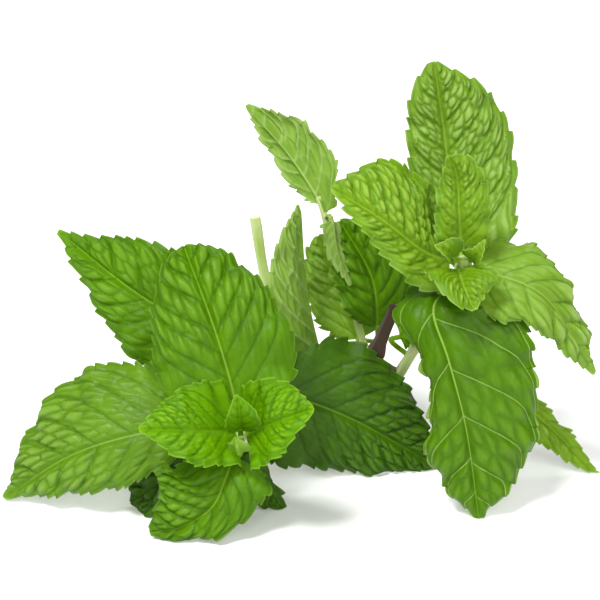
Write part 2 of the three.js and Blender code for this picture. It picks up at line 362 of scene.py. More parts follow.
@dataclass(frozen=True)
class BladeSkin:
    """One face of a living mint leaf: a waxy skin over soft green tissue that lets light through.

    Its colour paints a sheen on the crown of every pillow between the veins and, on the upper faces,
    shade in the furrows and creases along the veins; the yellower glow is light that passes through it.
    """

    name: str
    deep: str  # patches and the sides of the furrows
    green: str  # uneven darker patches
    painted_sheen: str  # painted highlight on the crowns of the pillows; also lightens the margin
    vein: str  # the side veins and the net between the pillows: darker on the upper faces, where it is painted furrow and crease shade, and paler underneath, the raised veins' own colour
    thread: str  # the fine line in its middle
    rib: str  # midrib and stalk
    glow: str  # light that comes through
    vein_and_furrow_shade_strength: float = 0.7
    net_and_crease_shade_strength: float = 0.5
    thread_strength: float = 0.0
    painted_sheen_strength: float = 0.3
    roughness: float = 0.36
    shine: float = 0.25  # specular level: a thin wax reflects less than plastic
    see_through: float = 0.4  # share of light that passes the blade

    PATCH_MM = 7.0  # size of the uneven patches of green
    AREOLE_MM = 0.9  # the finest mesh of veins, drawn a little coarse so that it shows
    GRAIN_MM = 0.35
    VEIN_HALF_MM = 0.5
    THREAD_HALF_MM = 0.13
    FINE_RELIEF_MM = 0.09
    FURROW_ROUGHER = 0.14  # how much rougher the furrows are than the pillows
    GLOW_SHARE = 0.62  # how far light from behind takes on the glow's colour

    def material(self) -> bpy.types.Material:
        """Builds the skin.

        Returns:
            A material that reads each point's blade, veins and quilt attributes.
        """
        material, tree = new_material(self.name)
        masks = self._masks(tree)
        shade = linear(self.green)
        layers = [
            (masks["patch"], self.deep),
            # painted sheen: the crowns of the pillows lightened as if they caught the light
            (masks["crown"], self.painted_sheen),
            # the net and the side veins: painted shade in the creases and furrows of the upper faces, pale
            # raised veins underneath
            (masks["net"], self.vein),
            (masks["vein"], self.vein),
            (masks["thread"], self.thread),
            # lighter margin: partly the blade's own paler edge, partly painted highlight
            (masks["rim"], self.painted_sheen),
            (masks["rib"], self.rib),
        ]
        for mask, colour in layers:
            shade = add_node(tree, "Mix", {0: mask, 6: shade, 7: linear(colour)}, data_type="RGBA").outputs[2]
        rough = add_node(
            tree,
            "MapRange",
            {0: masks["quilt"], 1: 0.0, 2: 1.0, 3: self.roughness + self.FURROW_ROUGHER, 4: self.roughness},
        )
        skin = add_node(
            tree,
            "BsdfPrincipled",
            {
                "Base Color": shade,
                "Roughness": rough.outputs[0],
                "Normal": self._relief(tree),
                "Specular IOR Level": self.shine,
                "IOR": 1.45,
            },
        )
        through_light = add_node(
            tree,
            "Mix",
            {0: self.GLOW_SHARE, 6: shade, 7: linear(self.glow)},
            data_type="RGBA",
        )
        glow = add_node(tree, "BsdfTranslucent", {"Color": through_light.outputs[2]})
        blend = add_node(tree, "MixShader", {0: self.see_through, 1: skin.outputs[0], 2: glow.outputs[0]})
        add_node(tree, "OutputMaterial", {"Surface": blend.outputs[0]})
        return material

    def _masks(self, tree: bpy.types.NodeTree) -> dict[str, bpy.types.NodeSocket]:
        """Where each colour lies, from 0 to 1.

        The side veins sit where the strip number is whole: the distance to one, in millimetres, is
        the distance of the strip number from a whole one, times the strip's width.

        Args:
            tree: the material's node tree.

        Returns:
            The masks by name.
        """
        blade = add_node(tree, "Attribute", attribute_name="blade").outputs[1]
        blade = add_node(tree, "SeparateXYZ", {0: blade})
        veins = add_node(tree, "Attribute", attribute_name="veins").outputs[1]
        veins = add_node(tree, "SeparateXYZ", {0: veins})
        quilt = add_node(tree, "Attribute", attribute_name="quilt").outputs[2]
        where = add_node(tree, "TexCoord").outputs["Object"]
        patch_scale = 1 / (self.PATCH_MM * MM)
        noise = add_node(tree, "TexNoise", {"Vector": where, "Scale": patch_scale, "Detail": 3.0})
        halfway = add_node(tree, "Math", {0: veins.outputs[0], 1: 0.5}, operation="ADD")
        share = add_node(tree, "Math", {0: halfway.outputs[0]}, operation="FRACT")
        offset = add_node(tree, "Math", {0: share.outputs[0], 1: 0.5}, operation="SUBTRACT")
        whole = add_node(tree, "Math", {0: offset.outputs[0]}, operation="ABSOLUTE")
        distance = add_node(
            tree, "Math", {0: whole.outputs[0], 1: veins.outputs[1]}, operation="MULTIPLY"
        ).outputs[0]
        thread = self.THREAD_HALF_MM
        ranges = {
            "patch": (noise.outputs[0], 0.38, 0.68, 0.0, 0.55),
            # painted sheen on the pillows' crowns
            "crown": (quilt, 0.35, 1.0, 0.0, self.painted_sheen_strength),
            # net and side veins: on the upper faces painted crease and furrow shade, underneath the veins'
            # own pale colour
            "net": (veins.outputs[2], 0.15, 1.0, 0.0, self.net_and_crease_shade_strength),
            "vein": (distance, 0.1, self.VEIN_HALF_MM, self.vein_and_furrow_shade_strength, 0.0),
            "thread": (distance, thread * 0.5, thread * 1.5, self.thread_strength, 0.0),
            # lighter margin, partly the edge's own colour and partly painted highlight
            "rim": (blade.outputs[2], 0.1, 0.6, 0.5, 0.0),
            "rib": (blade.outputs[0], 0.7, 1.3, 0.8, 0.0),
        }
        masks = {"quilt": quilt}
        for name, (value, start, end, low, high) in ranges.items():
            masks[name] = add_node(
                tree,
                "MapRange",
                {0: value, 1: start, 2: end, 3: low, 4: high},
                interpolation_type="SMOOTHSTEP",
            ).outputs[0]
        return masks

    def _relief(self, tree: bpy.types.NodeTree) -> bpy.types.NodeSocket:
        """The finest relief: tiny cells between the smallest veins, and the grain of the skin.

        Args:
            tree: the material's node tree.

        Returns:
            The bumped normal.
        """
        where = add_node(tree, "TexCoord").outputs["Object"]
        cells = add_node(tree, "TexVoronoi", {"Vector": where, "Scale": 1 / (self.AREOLE_MM * MM)})
        grain_scale = 1 / (self.GRAIN_MM * MM)
        grain = add_node(tree, "TexNoise", {"Vector": where, "Scale": grain_scale, "Detail": 2.0})
        domes = add_node(tree, "MapRange", {0: cells.outputs[0], 1: 0.0, 2: 0.9, 3: 1.0, 4: 0.0})
        height = add_node(
            tree, "Math", {0: grain.outputs[0], 1: 0.3, 2: domes.outputs[0]}, operation="MULTIPLY_ADD"
        )
        relief = {"Strength": 0.6, "Distance": self.FINE_RELIEF_MM * MM, "Height": height.outputs[0]}
        bump = add_node(tree, "Bump", relief)
        return bump.outputs[0]


@dataclass(frozen=True)
class StemSkin:
    """The skin of a mint stem: squared, faintly ribbed along its length and finely hairy.

    It is paler and duller than a leaf, and it reddens in patches where light has fallen on it.
    """

    name: str
    green: str  # most of the stem
    pale: str  # patches
    blush: str  # where it has reddened
    roughness: float = 0.5
    blush_strength: float = 0.5

    RIB_MM = 0.35
    RIB_RELIEF_MM = 0.06
    PATCH_MM = 9.0
    CUT = "dfe4c4"  # pale wet pith

    def material(self) -> bpy.types.Material:
        """Builds the skin.

        Returns:
            A material that reads each point's stem attribute: share along, blush and cut face.
        """
        material, tree = new_material(self.name)
        stem = add_node(tree, "Attribute", attribute_name="stem").outputs[1]
        stem = add_node(tree, "SeparateXYZ", {0: stem})
        where = add_node(tree, "TexCoord").outputs["Object"]
        patch_scale, rib_scale = 1 / (self.PATCH_MM * MM), 1 / (self.RIB_MM * MM)
        patches = add_node(tree, "TexNoise", {"Vector": where, "Scale": patch_scale, "Detail": 4.0})
        streaks = add_node(tree, "TexNoise", {"Vector": where, "Scale": rib_scale, "Detail": 2.0})
        ranges = [
            (patches.outputs[0], 0.35, 0.7, 0.0, 0.8, self.pale),
            (stem.outputs[1], 0.2, 1.0, 0.0, self.blush_strength, self.blush),
            (stem.outputs[2], 0.4, 0.6, 0.0, 0.85, self.CUT),
        ]
        shade = linear(self.green)
        for value, start, end, low, high, colour in ranges:
            mask = add_node(tree, "MapRange", {0: value, 1: start, 2: end, 3: low, 4: high}).outputs[0]
            shade = add_node(tree, "Mix", {0: mask, 6: shade, 7: linear(colour)}, data_type="RGBA").outputs[2]
        ribs = {"Strength": 0.5, "Distance": self.RIB_RELIEF_MM * MM, "Height": streaks.outputs[0]}
        bump = add_node(tree, "Bump", ribs)
        skin = add_node(
            tree,
            "BsdfPrincipled",
            {
                "Base Color": shade,
                "Roughness": self.roughness,
                "Specular IOR Level": 0.35,
                "Normal": bump.outputs[0],
                "Sheen Weight": 0.15,  # the fine hairs
            },
        )
        add_node(tree, "OutputMaterial", {"Surface": skin.outputs[0]})
        return material


# Full grown, upper face: deep green with a faint painted sheen on each pillow.
GROWN_UPPER = BladeSkin(
    "mint_leaf_upper_grown", deep="446c00", green="5e9000", painted_sheen="8cb43c", vein="3e6600",
    thread="9ab848", rib="8aac38", glow="a8d000",
)
# Its underside: matt and greyish, because the tissue is loose and hairy there, with pale veins.
GROWN_UNDER = BladeSkin(
    "mint_leaf_under_grown", deep="6f9340", green="86a850", painted_sheen="98b466", vein="b2c886",
    thread="c4d69a", rib="b8cc7c", glow="b0cc30", vein_and_furrow_shade_strength=0.5, roughness=0.6, shine=0.2,
)
# An old, thick leaf: smooth and glossy, its veins pale threads.
LEATHERY_UPPER = BladeSkin(
    "mint_leaf_upper_leathery", deep="3a6000", green="4c7800", painted_sheen="7ea62c", vein="3a6000",
    thread="a4c060", rib="98b650", glow="9cc400", vein_and_furrow_shade_strength=0.2, net_and_crease_shade_strength=0.25,
    thread_strength=0.6, roughness=0.3, shine=0.22, see_through=0.3,
)
# Lighter and whiter than the grown green, for leaves that catch a sheen: painted sheen, strongest on the
# pillows' crowns.
PAINTED_SHEEN_UPPER = BladeSkin(
    "mint_leaf_upper_waxy", deep="6c9018", green="84aa30", painted_sheen="b0cc74", vein="54800c",
    thread="98b850", rib="9cbc50", glow="b0d408", painted_sheen_strength=0.6, shine=0.45,
)
# Full grown and a little lighter: a softer painted sheen than the one above.
HALF_PAINTED_SHEEN_UPPER = BladeSkin(
    "mint_leaf_upper_satin", deep="567c0a", green="6a9616", painted_sheen="9abc56", vein="4a7404",
    thread="96b650", rib="94b648", glow="acd204", painted_sheen_strength=0.5, roughness=0.34, shine=0.4,
)
# Young and tender: bright yellow-green, and it glows where light comes through.
YOUNG_UPPER = BladeSkin(
    "mint_leaf_upper_young", deep="4e8400", green="72a800", painted_sheen="a0cc34", vein="4a7e00",
    thread="8cb42c", rib="74a010", glow="bce000", roughness=0.34,
)
# The underside of a young leaf: matt, pale yellow-green.
YOUNG_UNDER = BladeSkin(
    "mint_leaf_under_young", deep="6c9c1c", green="80b028", painted_sheen="94bc40", vein="9cc050",
    thread="b0cc60", rib="9cbc48", glow="bce000", vein_and_furrow_shade_strength=0.5, roughness=0.5, shine=0.2,
)
# Young: a paler, yellower green, with small painted highlights on the pillows' crowns.
PALE_UPPER = BladeSkin(
    "mint_leaf_upper_pale", deep="6a9410", green="86ac1c", painted_sheen="b0cc5c", vein="5c8a0a",
    thread="98bc38", rib="94b83c", glow="c8e400", painted_sheen_strength=0.5, roughness=0.34, shine=0.4,
)
# Dark green for leaves lying in the shade of the others: painted shade, and little light passes it.
SHADED_UPPER = BladeSkin(
    "mint_leaf_upper_shaded", deep="2a4a00", green="3c6400", painted_sheen="5c861c", vein="2a4a00",
    thread="6e9240", rib="5c8418", glow="90b408", see_through=0.2,
)
# The underside of those leaves: a darker, dull grey-green, painted shade, its veins pale.
SHADED_UNDER = BladeSkin(
    "mint_leaf_under_shaded", deep="5a7c34", green="6c9044", painted_sheen="7ea058", vein="98b474",
    thread="acc48c", rib="a4bc70", glow="98b828", vein_and_furrow_shade_strength=0.5, roughness=0.62, shine=0.2,
)
# The back of the old rear leaves: light green with a raised pale net.
PALE_BACKED_UNDER = BladeSkin(
    "mint_leaf_under_pale", deep="668e24", green="82a63c", painted_sheen="98b65c", vein="a6c070",
    thread="b8d098", rib="b0c870", glow="b0cc30", vein_and_furrow_shade_strength=0.6, net_and_crease_shade_strength=0.6, roughness=0.5,
    shine=0.35,
)


@dataclass(frozen=True)
class LeafFinish:
    """The two skins of a leaf, and the record's slot that they belong to."""

    slot: str
    upper: BladeSkin
    under: BladeSkin


class Age(Enum):
    """How old a leaf is, which decides its greens; some finishes also carry painted shade, others painted
    sheen.
    """

    YOUNG = LeafFinish("young_leaf", YOUNG_UPPER, YOUNG_UNDER)
    PALE = LeafFinish("young_leaf", PALE_UPPER, YOUNG_UNDER)
    GROWN = LeafFinish("grown_leaf", GROWN_UPPER, GROWN_UNDER)
    WAXY = LeafFinish("grown_leaf", PAINTED_SHEEN_UPPER, GROWN_UNDER)
    SATIN = LeafFinish("grown_leaf", HALF_PAINTED_SHEEN_UPPER, GROWN_UNDER)
    LEATHERY = LeafFinish("grown_leaf", LEATHERY_UPPER, GROWN_UNDER)
    SHADED = LeafFinish("shaded_leaf", SHADED_UPPER, SHADED_UNDER)
    PALE_BACKED = LeafFinish("pale_backed_leaf", PALE_UPPER, PALE_BACKED_UNDER)


# Living stem: pale waxy green, reddened where light has fallen on it.
GREEN_STEM = StemSkin("mint_stem_green", green="9fb65e", pale="c0cc90", blush="b08a78")
# Dead, dried stem: rough dark brown bark with a purple cast.
DRIED_STEM = StemSkin(
    "mint_stem_dried", green="32200e", pale="452a18", blush="54282e", roughness=0.7
)


class Finishes:
    """Builds each skin once and hands it out again."""

    def __init__(self) -> None:
        """Starts with none built."""
        self._made: dict[str, bpy.types.Material] = {}

    def get(self, skin: BladeSkin | StemSkin) -> bpy.types.Material:
        """The material for a skin.

        Args:
            skin: which skin.

        Returns:
            Its material, built the first time that it is asked for.
        """
        if skin.name not in self._made:
            self._made[skin.name] = skin.material()
        return self._made[skin.name]


# ---- Leaf ---------------------------------------------------------------------------------------


@dataclass(frozen=True)
class Margin:
    """The teeth along a leaf's margin, hooked towards its tip. Millimetres."""

    pitch: float = 4.2  # from tooth to tooth
    depth: float = 1.3  # how far a tooth stands out
    hook: float = 0.8  # how far its point leans forward, as a share of its depth
    roundness: float = 0.9  # power of the tooth's back: below 1 it bulges
    wave: float = 0.9  # height of the margin's slow rise and fall
    wave_length: float = 13.0


@dataclass(frozen=True)
class Quilting:
    """The veins of a leaf and the pillows that swell between them. Millimetres and degrees."""

    pairs: int = 6  # side veins on each side
    angle: float = 46.0  # at which they leave the midrib
    bow: float = 1.0  # how far they sweep forward near the margin
    strip_height: float = 0.65  # of the blade between two side veins
    pillow_height: float = 0.95  # of each pillow on it
    pillow: Pair = (3.2, 3.6)  # its size across the strip and along the vein
    fine_height: float = 0.07  # of the small cells on the pillows
    furrow: float = 0.25  # depth of the line of a side vein
    wobble: float = 0.8  # how uneven the pillows are
    foot_share: float = 0.35  # of all these heights at the foot of the blade, growing to the whole


# How each kind of leaf is wrinkled.
QUILTED = Quilting()
PUCKERED = Quilting(
    pairs=7, strip_height=0.5, pillow_height=0.9, pillow=(1.8, 3.4), furrow=0.3, foot_share=0.8
)
YOUNG_QUILT = Quilting(
    strip_height=0.45, pillow_height=0.55, pillow=(1.7, 2.2), furrow=0.22, fine_height=0.05
)
FINE_QUILT = Quilting(
    pairs=7, strip_height=0.35, pillow_height=0.8, pillow=(1.3, 2.2), fine_height=0.05
)
BUD_QUILT = Quilting(
    pairs=4, strip_height=0.12, pillow_height=0.15, pillow=(1.1, 1.3), furrow=0.08, fine_height=0.0
)
WIDE_NET = Quilting(
    pairs=5, angle=50, strip_height=0.5, pillow_height=0.55, pillow=(4.6, 5.4), furrow=0.3,
    fine_height=0.14, foot_share=0.5,
)

# How each kind of margin is toothed.
FINE_TEETH = Margin(pitch=3.2, depth=0.9)
YOUNG_TEETH = Margin(pitch=3.4, depth=1.0, roundness=0.7, wave=0.7, wave_length=9)
BUD_TEETH = Margin(pitch=1.8, depth=0.45, wave=0.15, wave_length=5)
ROUND_TEETH = Margin(pitch=4.8, depth=1.7, hook=1.0, roundness=0.55)
SPINY_TEETH = Margin(pitch=5.6, depth=1.1, hook=1.0, roundness=1.1)

# An outline's powers at foot and tip.
BLUNT = (0.42, 0.52)
OVATE = (0.5, 0.62)


@dataclass(frozen=True)
class Spine:
    """A leaf's midrib with its stalk, sampled finely: the line, and a frame carried along it."""

    share: Array  # along the given points, below 0 on the way from the stem to the foot
    run: Array  # millimetres along, 0 at the foot
    line: Array
    tangent: Array
    normal: Array
    across: Array  # towards the right-hand side, looking at the upper face with the tip up

    def at(self, run: Array) -> tuple[Array, Array, Array, Array]:
        """The line and its frame at some lengths along it.

        Args:
            run: millimetres along the midrib.

        Returns:
            Points, tangents, normals and directions across, one of each to a length.
        """
        columns = [
            np.stack([np.interp(run, self.run, values[:, axis]) for axis in range(3)], -1)
            for values in (self.line, self.tangent, self.normal, self.across)
        ]
        return columns[0], unit(columns[1]), unit(columns[2]), unit(columns[3])


@dataclass
class Side:
    """One half of a blade, from the midrib out to the margin, as grids of stations by steps."""

    points: Array
    normals: Array
    along: Array  # millimetres from the foot
    out: Array  # millimetres from the midrib
    margin: Array  # millimetres to the margin
    strip: Array  # number of the strip between side veins, whole on a vein
    strip_width: Array  # millimetres
    net: Array  # 1 on the small veins between the pillows
    quilt: Array  # 1 on the crown of a pillow
    ridge: Array  # how far the underside stands out under the veins

    def joined(self, other: "Side", name: str) -> Array:
        """One of this half's grids, turned round, with the other half's after it.

        Args:
            other: the half on the other side of the midrib.
            name: which grid.

        Returns:
            The grid from this half's margin to the other's, the midrib's column kept once.
        """
        return np.concatenate([getattr(self, name)[:, :0:-1], getattr(other, name)], axis=1)


@dataclass(frozen=True)
class Leaf:
    """A leaf with its stalk: one closed sheet.

    Its pairs are for the left and right of the midrib, looking at the upper face with the tip up.
    """

    name: str
    age: Age
    face: Point  # the way the upper face looks, half way along
    midrib: tuple[Point, ...]  # from the foot of the stalk to the tip
    half_width: Pair | tuple[Widths, Widths]  # the widest, or at even steps from foot to tip
    fold: Pair  # degrees that the blade rises from the midrib
    curl: Pair  # degrees that it turns back down on its way to the margin
    stalk: float  # share of the midrib that is bare stalk
    fullness: Pair = OVATE  # outline's powers at foot and tip: less is rounder
    quilting: Quilting = QUILTED
    teeth: Margin = Margin()
    roll: Pair = (0, 0)  # further degrees that the last few millimetres of the margin turn down
    grows_from: str = ""  # the stem that its stalk reaches back to
    seed: int = 1

    ROLL_REACH = 3.0  # millimetres from the margin over which it rolls
    TOOTH_PEAK = 0.8  # where a tooth's point is, as a share of its length
    TOOTH_INSET = 0.3  # share of its depth that is cut into the blade
    TOOTH_STRAY = 0.45  # how far its length strays, as a share
    VEIN_STRAY = 0.16  # how far a side vein strays, as a share of the gap to the next
    VEIN_BEFORE = 0.45  # of a strip that shows below the lowest side vein
    CROWN_REACH = 0.8  # how far from a pillow's edge its crown is, in cells
    FINE_CELLS = 2.4  # small cells to the width of a pillow
    FINE_OFFSET = 9.0  # so that their scatter doesn't follow the pillows'
    FURROW_HALF = 0.4  # half width of a side vein's furrow, in millimetres
    RIB_GROOVE = 0.45  # depth of the groove over the midrib
    SWAY = 0.5  # height of the blade's slow rise and fall, in millimetres
    SWAY_LENGTHS = (7.5, 6.0)  # along and across, in millimetres to a radian

    def spine(self, joint: Array | None) -> Spine:
        """Samples the midrib, and the stalk from the stem to its foot.

        The stalk is the cubic that leaves the stem straight at the foot and arrives along the
        midrib. The upper face's direction is set half way along and carried from there.

        Args:
            joint: the point on the stem, or None where the leaf keeps its own foot.

        Returns:
            The sampled spine.
        """
        share = np.linspace(0, 1, SPINE_SAMPLES)
        line = through(self.midrib, share)
        if joint is not None:
            gap = line[0] - joint
            reach = np.linalg.norm(gap)
            arriving = unit(line[1] - line[0]) * reach
            steps = np.linspace(0, 1, max(int(reach / 0.15), 4))[:-1, None]
            stalk = hermite(joint, line[0], gap, arriving, steps)
            line = np.vstack([stalk, line])
            share = np.concatenate([steps[:, 0] - 1, share])
        run = run_of(line)
        tangent = unit(np.gradient(line, axis=0))
        start = int(np.searchsorted(share, 6 / SLAB_STATIONS))
        normal = carried(tangent, np.array(self.face, float), start)
        foot = np.interp(0.0, share, run)
        return Spine(share, run - foot, line, tangent, normal, np.cross(tangent, normal))

    def outline(self, blade_share: Array, side: int) -> Array:
        """Half width along the blade.

        Either a smooth line through half widths given at even steps from foot to tip, rounded off
        at the foot by a root, or the share from the foot to one power, times the share from the tip
        to another, over the most that this product reaches, times the widest.

        Args:
            blade_share: 0 at the foot of the blade, 1 at its tip.
            side: 0 for left, 1 for right.

        Returns:
            Millimetres, 0 at the foot and next to nothing at the tip.
        """
        widths = self.half_width[side]
        if isinstance(widths, tuple):
            given = through(tuple((width,) for width in widths), blade_share)[:, 0]
            return np.maximum(given, 0) * np.sqrt(np.clip(blade_share / FOOT_SHARE, 0, 1))
        foot, tip = self.fullness
        widest = foot / (foot + tip)
        most = widest**foot * (1 - widest) ** tip
        held = np.clip(blade_share, 0, 1)
        return widths * held**foot * (1 - held) ** tip / most

    def slab_middle(self) -> Array:
        """The middle of the box round the plain slab that the frame holds for this leaf.

        Returns:
            The point, in the hand-placed points' own space.
        """
        share = np.linspace(0, 1, SLAB_STATIONS + 1)
        nudge = 1e-4
        line = through(self.midrib, share)
        ahead, behind = np.minimum(share + nudge, 1), np.maximum(share - nudge, 0)
        tangent = unit(through(self.midrib, ahead) - through(self.midrib, behind))
        normal = carried(tangent, np.array(self.face, float), 6)
        across = np.cross(tangent, normal)
        blade_share = (share - self.stalk) / (1 - self.stalk)
        corners = []
        for side in (0, 1):
            width = np.maximum(self.outline(blade_share, side), SLAB_EDGE)
            sheet, up, _ = self._section(line, across, normal, width, side, SLAB_STRIPS)
            sheet[..., 2] = np.maximum(sheet[..., 2], SLAB_THICKNESS / 2)
            corners += [sheet + up * SLAB_THICKNESS / 2, sheet - up * SLAB_THICKNESS / 2]
        corners = np.concatenate([grid.reshape(-1, 3) for grid in corners])
        return (corners.min(0) + corners.max(0)) / 2

    def _section(
        self,
        line: Array,
        across: Array,
        normal: Array,
        width: Array,
        side: int,
        steps: int,
        roll: bool = False,
    ) -> tuple[Array, Array, Array]:
        """Steps out from the midrib to one margin.

        Each step is the half width over the number of steps, along a slope of the fold less the
        curl times the share of the way out, less the roll in the last few millimetres.

        Args:
            line: the midrib's points.
            across: directions towards the right margin.
            normal: directions of the upper face.
            width: half widths.
            side: 0 for left, 1 for right.
            steps: how many steps.
            roll: whether the margin's own roll is added.

        Returns:
            Grids of points, of the sheet's normals and of its outward directions.
        """
        outward = across * (1 if side else -1)
        share = (np.arange(steps) + 0.5) / steps
        slope = np.broadcast_to(self.fold[side] - self.curl[side] * share, (len(width), steps)).copy()
        if roll:
            left = (1 - share) * width[:, None]
            slope -= self.roll[side] * (1 - eased(left, 0, self.ROLL_REACH)) * eased(width, 2, 6)[:, None]
        slope = np.radians(slope)[..., None]
        step = (width / steps)[:, None, None]
        moves = step * (outward[:, None] * np.cos(slope) + normal[:, None] * np.sin(slope))
        reached = np.concatenate([np.zeros_like(moves[:, :1]), np.cumsum(moves, axis=1)], axis=1)
        points = line[:, None] + reached
        leant = np.concatenate([slope[:, :1], (slope[:, 1:] + slope[:, :-1]) / 2, slope[:, -1:]], axis=1)
        normals = normal[:, None] * np.cos(leant) - outward[:, None] * np.sin(leant)
        outwards = outward[:, None] * np.cos(leant) + normal[:, None] * np.sin(leant)
        return points, normals, outwards

    def _widths(self, spine: Spine, side: int) -> Array:
        """Half width at each sample of the spine: the blade's outline, never less than the stalk's.

        Args:
            spine: the midrib.
            side: 0 for left, 1 for right.

        Returns:
            Half widths in millimetres.
        """
        blade_share = (spine.share - self.stalk) / (1 - self.stalk)
        blade = self.outline(blade_share, side)
        stalk = STALK_HALF_WIDTH * (1 - eased(blade_share, 0.0, 0.4))
        return np.maximum(np.hypot(blade, stalk * (blade_share > 0)), np.maximum(stalk, TIP_HALF_WIDTH))

    def _stations(self, spine: Spine, widths: list[Array]) -> Array:
        """Where the rows of the grid lie, evenly spaced as measured along the margins.

        Args:
            spine: the midrib.
            widths: half widths of both sides at its samples.

        Returns:
            Lengths along the midrib.
        """
        ways = [run_of(np.stack([spine.run, width], -1)) for width in widths]
        way = (ways[0] + ways[1]) / 2
        count = max(int(way[-1] / GRID_STEP), 24)
        return np.interp(np.linspace(0, way[-1], count), way, spine.run)

    def _toothing(
        self, run: Array, width: Array, blade_start: float, chance: np.random.Generator
    ) -> tuple[Array, Array]:
        """How far the margin is pushed outward and forward at each station.

        Along each tooth the push grows as a power of the share of the way to its point, then drops
        to nothing over the last fifth. Its forward lean grows as the square of that share. A tooth
        has 0.7 to 1.2 of its depth, grows from nothing at the foot of the blade, and loses about
        half towards its tip.

        Args:
            run: lengths along the midrib.
            width: half widths.
            blade_start: where the blade begins.
            chance: where the teeth's unevenness comes from.

        Returns:
            The outward and the forward push, in millimetres.
        """
        way = run_of(np.stack([run, width], -1))
        start = np.interp(blade_start, run, way)
        total = way[-1] - start
        teeth = self.teeth
        count = max(int(round(total / teeth.pitch)), 3)
        edges = np.cumsum(np.concatenate([[0], 1 + self.TOOTH_STRAY * (chance.random(count) - 0.5) * 2]))
        edges *= total / edges[-1]
        place = np.clip(way - start, 0, total * 0.99999)
        index = np.searchsorted(edges, place, side="right") - 1
        part = (place - edges[index]) / (edges[index + 1] - edges[index])
        peak = self.TOOTH_PEAK
        rise = np.where(part < peak, (part / peak) ** teeth.roundness, (1 - part) / (1 - peak))
        lean = np.where(part < peak, (part / peak) ** 2, (1 - part) / (1 - peak))
        size = (0.7 + 0.5 * chance.random(count))[index]
        share = place / total
        size = size * eased(share, 0.02, 0.14) * (1 - 0.55 * eased(share, 0.82, 1.0)) * teeth.depth
        return size * (rise - self.TOOTH_INSET), size * teeth.hook * lean

    def _veins(
        self, along: Array, out: Array, width: Array, blade: Pair, chance: np.random.Generator
    ) -> tuple[Array, Array]:
        """The side veins: a strip number that is whole on each of them.

        A vein leaves the midrib at its angle and sweeps forward without end as it nears the margin,
        so it follows the line of along, less out over the tangent of the angle, less the bow times
        v^4 / (1.05 - v), where v is the share of the way to the margin.

        Args:
            along: millimetres from the foot.
            out: millimetres from the midrib.
            width: half width at each point.
            blade: where the blade starts and ends.
            chance: where the veins' unevenness comes from.

        Returns:
            The strip number and the strip's width across its veins.
        """
        quilting = self.quilting
        spread = np.linspace(0, 1, quilting.pairs + 1)[:-1]
        gap = (blade[1] - blade[0]) / (quilting.pairs + 0.6)
        origins = blade[0] + (blade[1] - blade[0]) * (0.015 + 0.93 * spread**1.08)
        origins = origins + gap * self.VEIN_STRAY * (chance.random(quilting.pairs) - 0.5) * 2
        beyond = origins[-1] + gap * np.array([0.8, 1.8, 2.8])
        origins = np.concatenate([[origins[0] - gap], origins, beyond])
        numbers = np.arange(len(origins)) - 1.0
        lean = 1 / math.tan(math.radians(quilting.angle))
        share = np.clip(out / np.maximum(width, 1.0), 0, 1)
        sweep = share**4 / (1.05 - share)
        root = along - lean * out - quilting.bow * sweep
        strip = np.maximum(np.interp(root, origins, numbers), -self.VEIN_BEFORE)
        gaps = np.interp(strip, (numbers[1:] + numbers[:-1]) / 2, np.diff(origins))
        steepness = (4 * share**3 * (1.05 - share) + share**4) / (1.05 - share) ** 2
        slant = lean + quilting.bow * steepness / np.maximum(width, 1.0)
        return strip, gaps / np.hypot(1, slant)

    def _half(self, spine: Spine, run: Array, side: int, steps: int) -> Side:
        """Builds one half of the blade.

        Args:
            spine: the midrib.
            run: the rows' lengths along it.
            side: 0 for left, 1 for right.
            steps: columns from midrib to margin.

        Returns:
            The half, with everything that its skins read.
        """
        chance = np.random.default_rng(1000 * self.seed + side)
        line, tangent, normal, across = spine.at(run)
        width = np.interp(run, spine.run, self._widths(spine, side))
        points, normals, outwards = self._section(line, across, normal, width, side, steps, roll=True)
        blade_start = float(np.interp(self.stalk, spine.share, spine.run))
        share = np.linspace(0, 1, steps + 1)[None]
        wide = width[:, None]
        margin = (1 - share) * wide
        push_out, push_on = self._toothing(run, width, blade_start, chance)
        steepness = np.gradient(width, run)
        length = np.hypot(1, steepness)
        onward = (push_out * -steepness + push_on) / length
        outward = (push_out + push_on * steepness) / length
        pull = 1 - eased(margin / np.minimum(TOOTH_REACH, 0.5 * wide + 0.01), 0, 1)
        along = run[:, None] + pull * onward[:, None]
        out = share * wide + pull * outward[:, None]
        push = onward[:, None, None] * tangent[:, None] + outward[:, None, None] * outwards
        points = points + pull[..., None] * push
        strip, strip_width = self._veins(along, out, wide, (blade_start, run[-1]), chance)
        relief = self._relief(along, out, margin, strip, strip_width, wide, (blade_start, run[-1]), chance)
        height, net, quilt, ridge = relief
        points = points + normals * height[..., None]
        return Side(points, normals, along, out, margin, strip, strip_width, net, quilt, ridge)

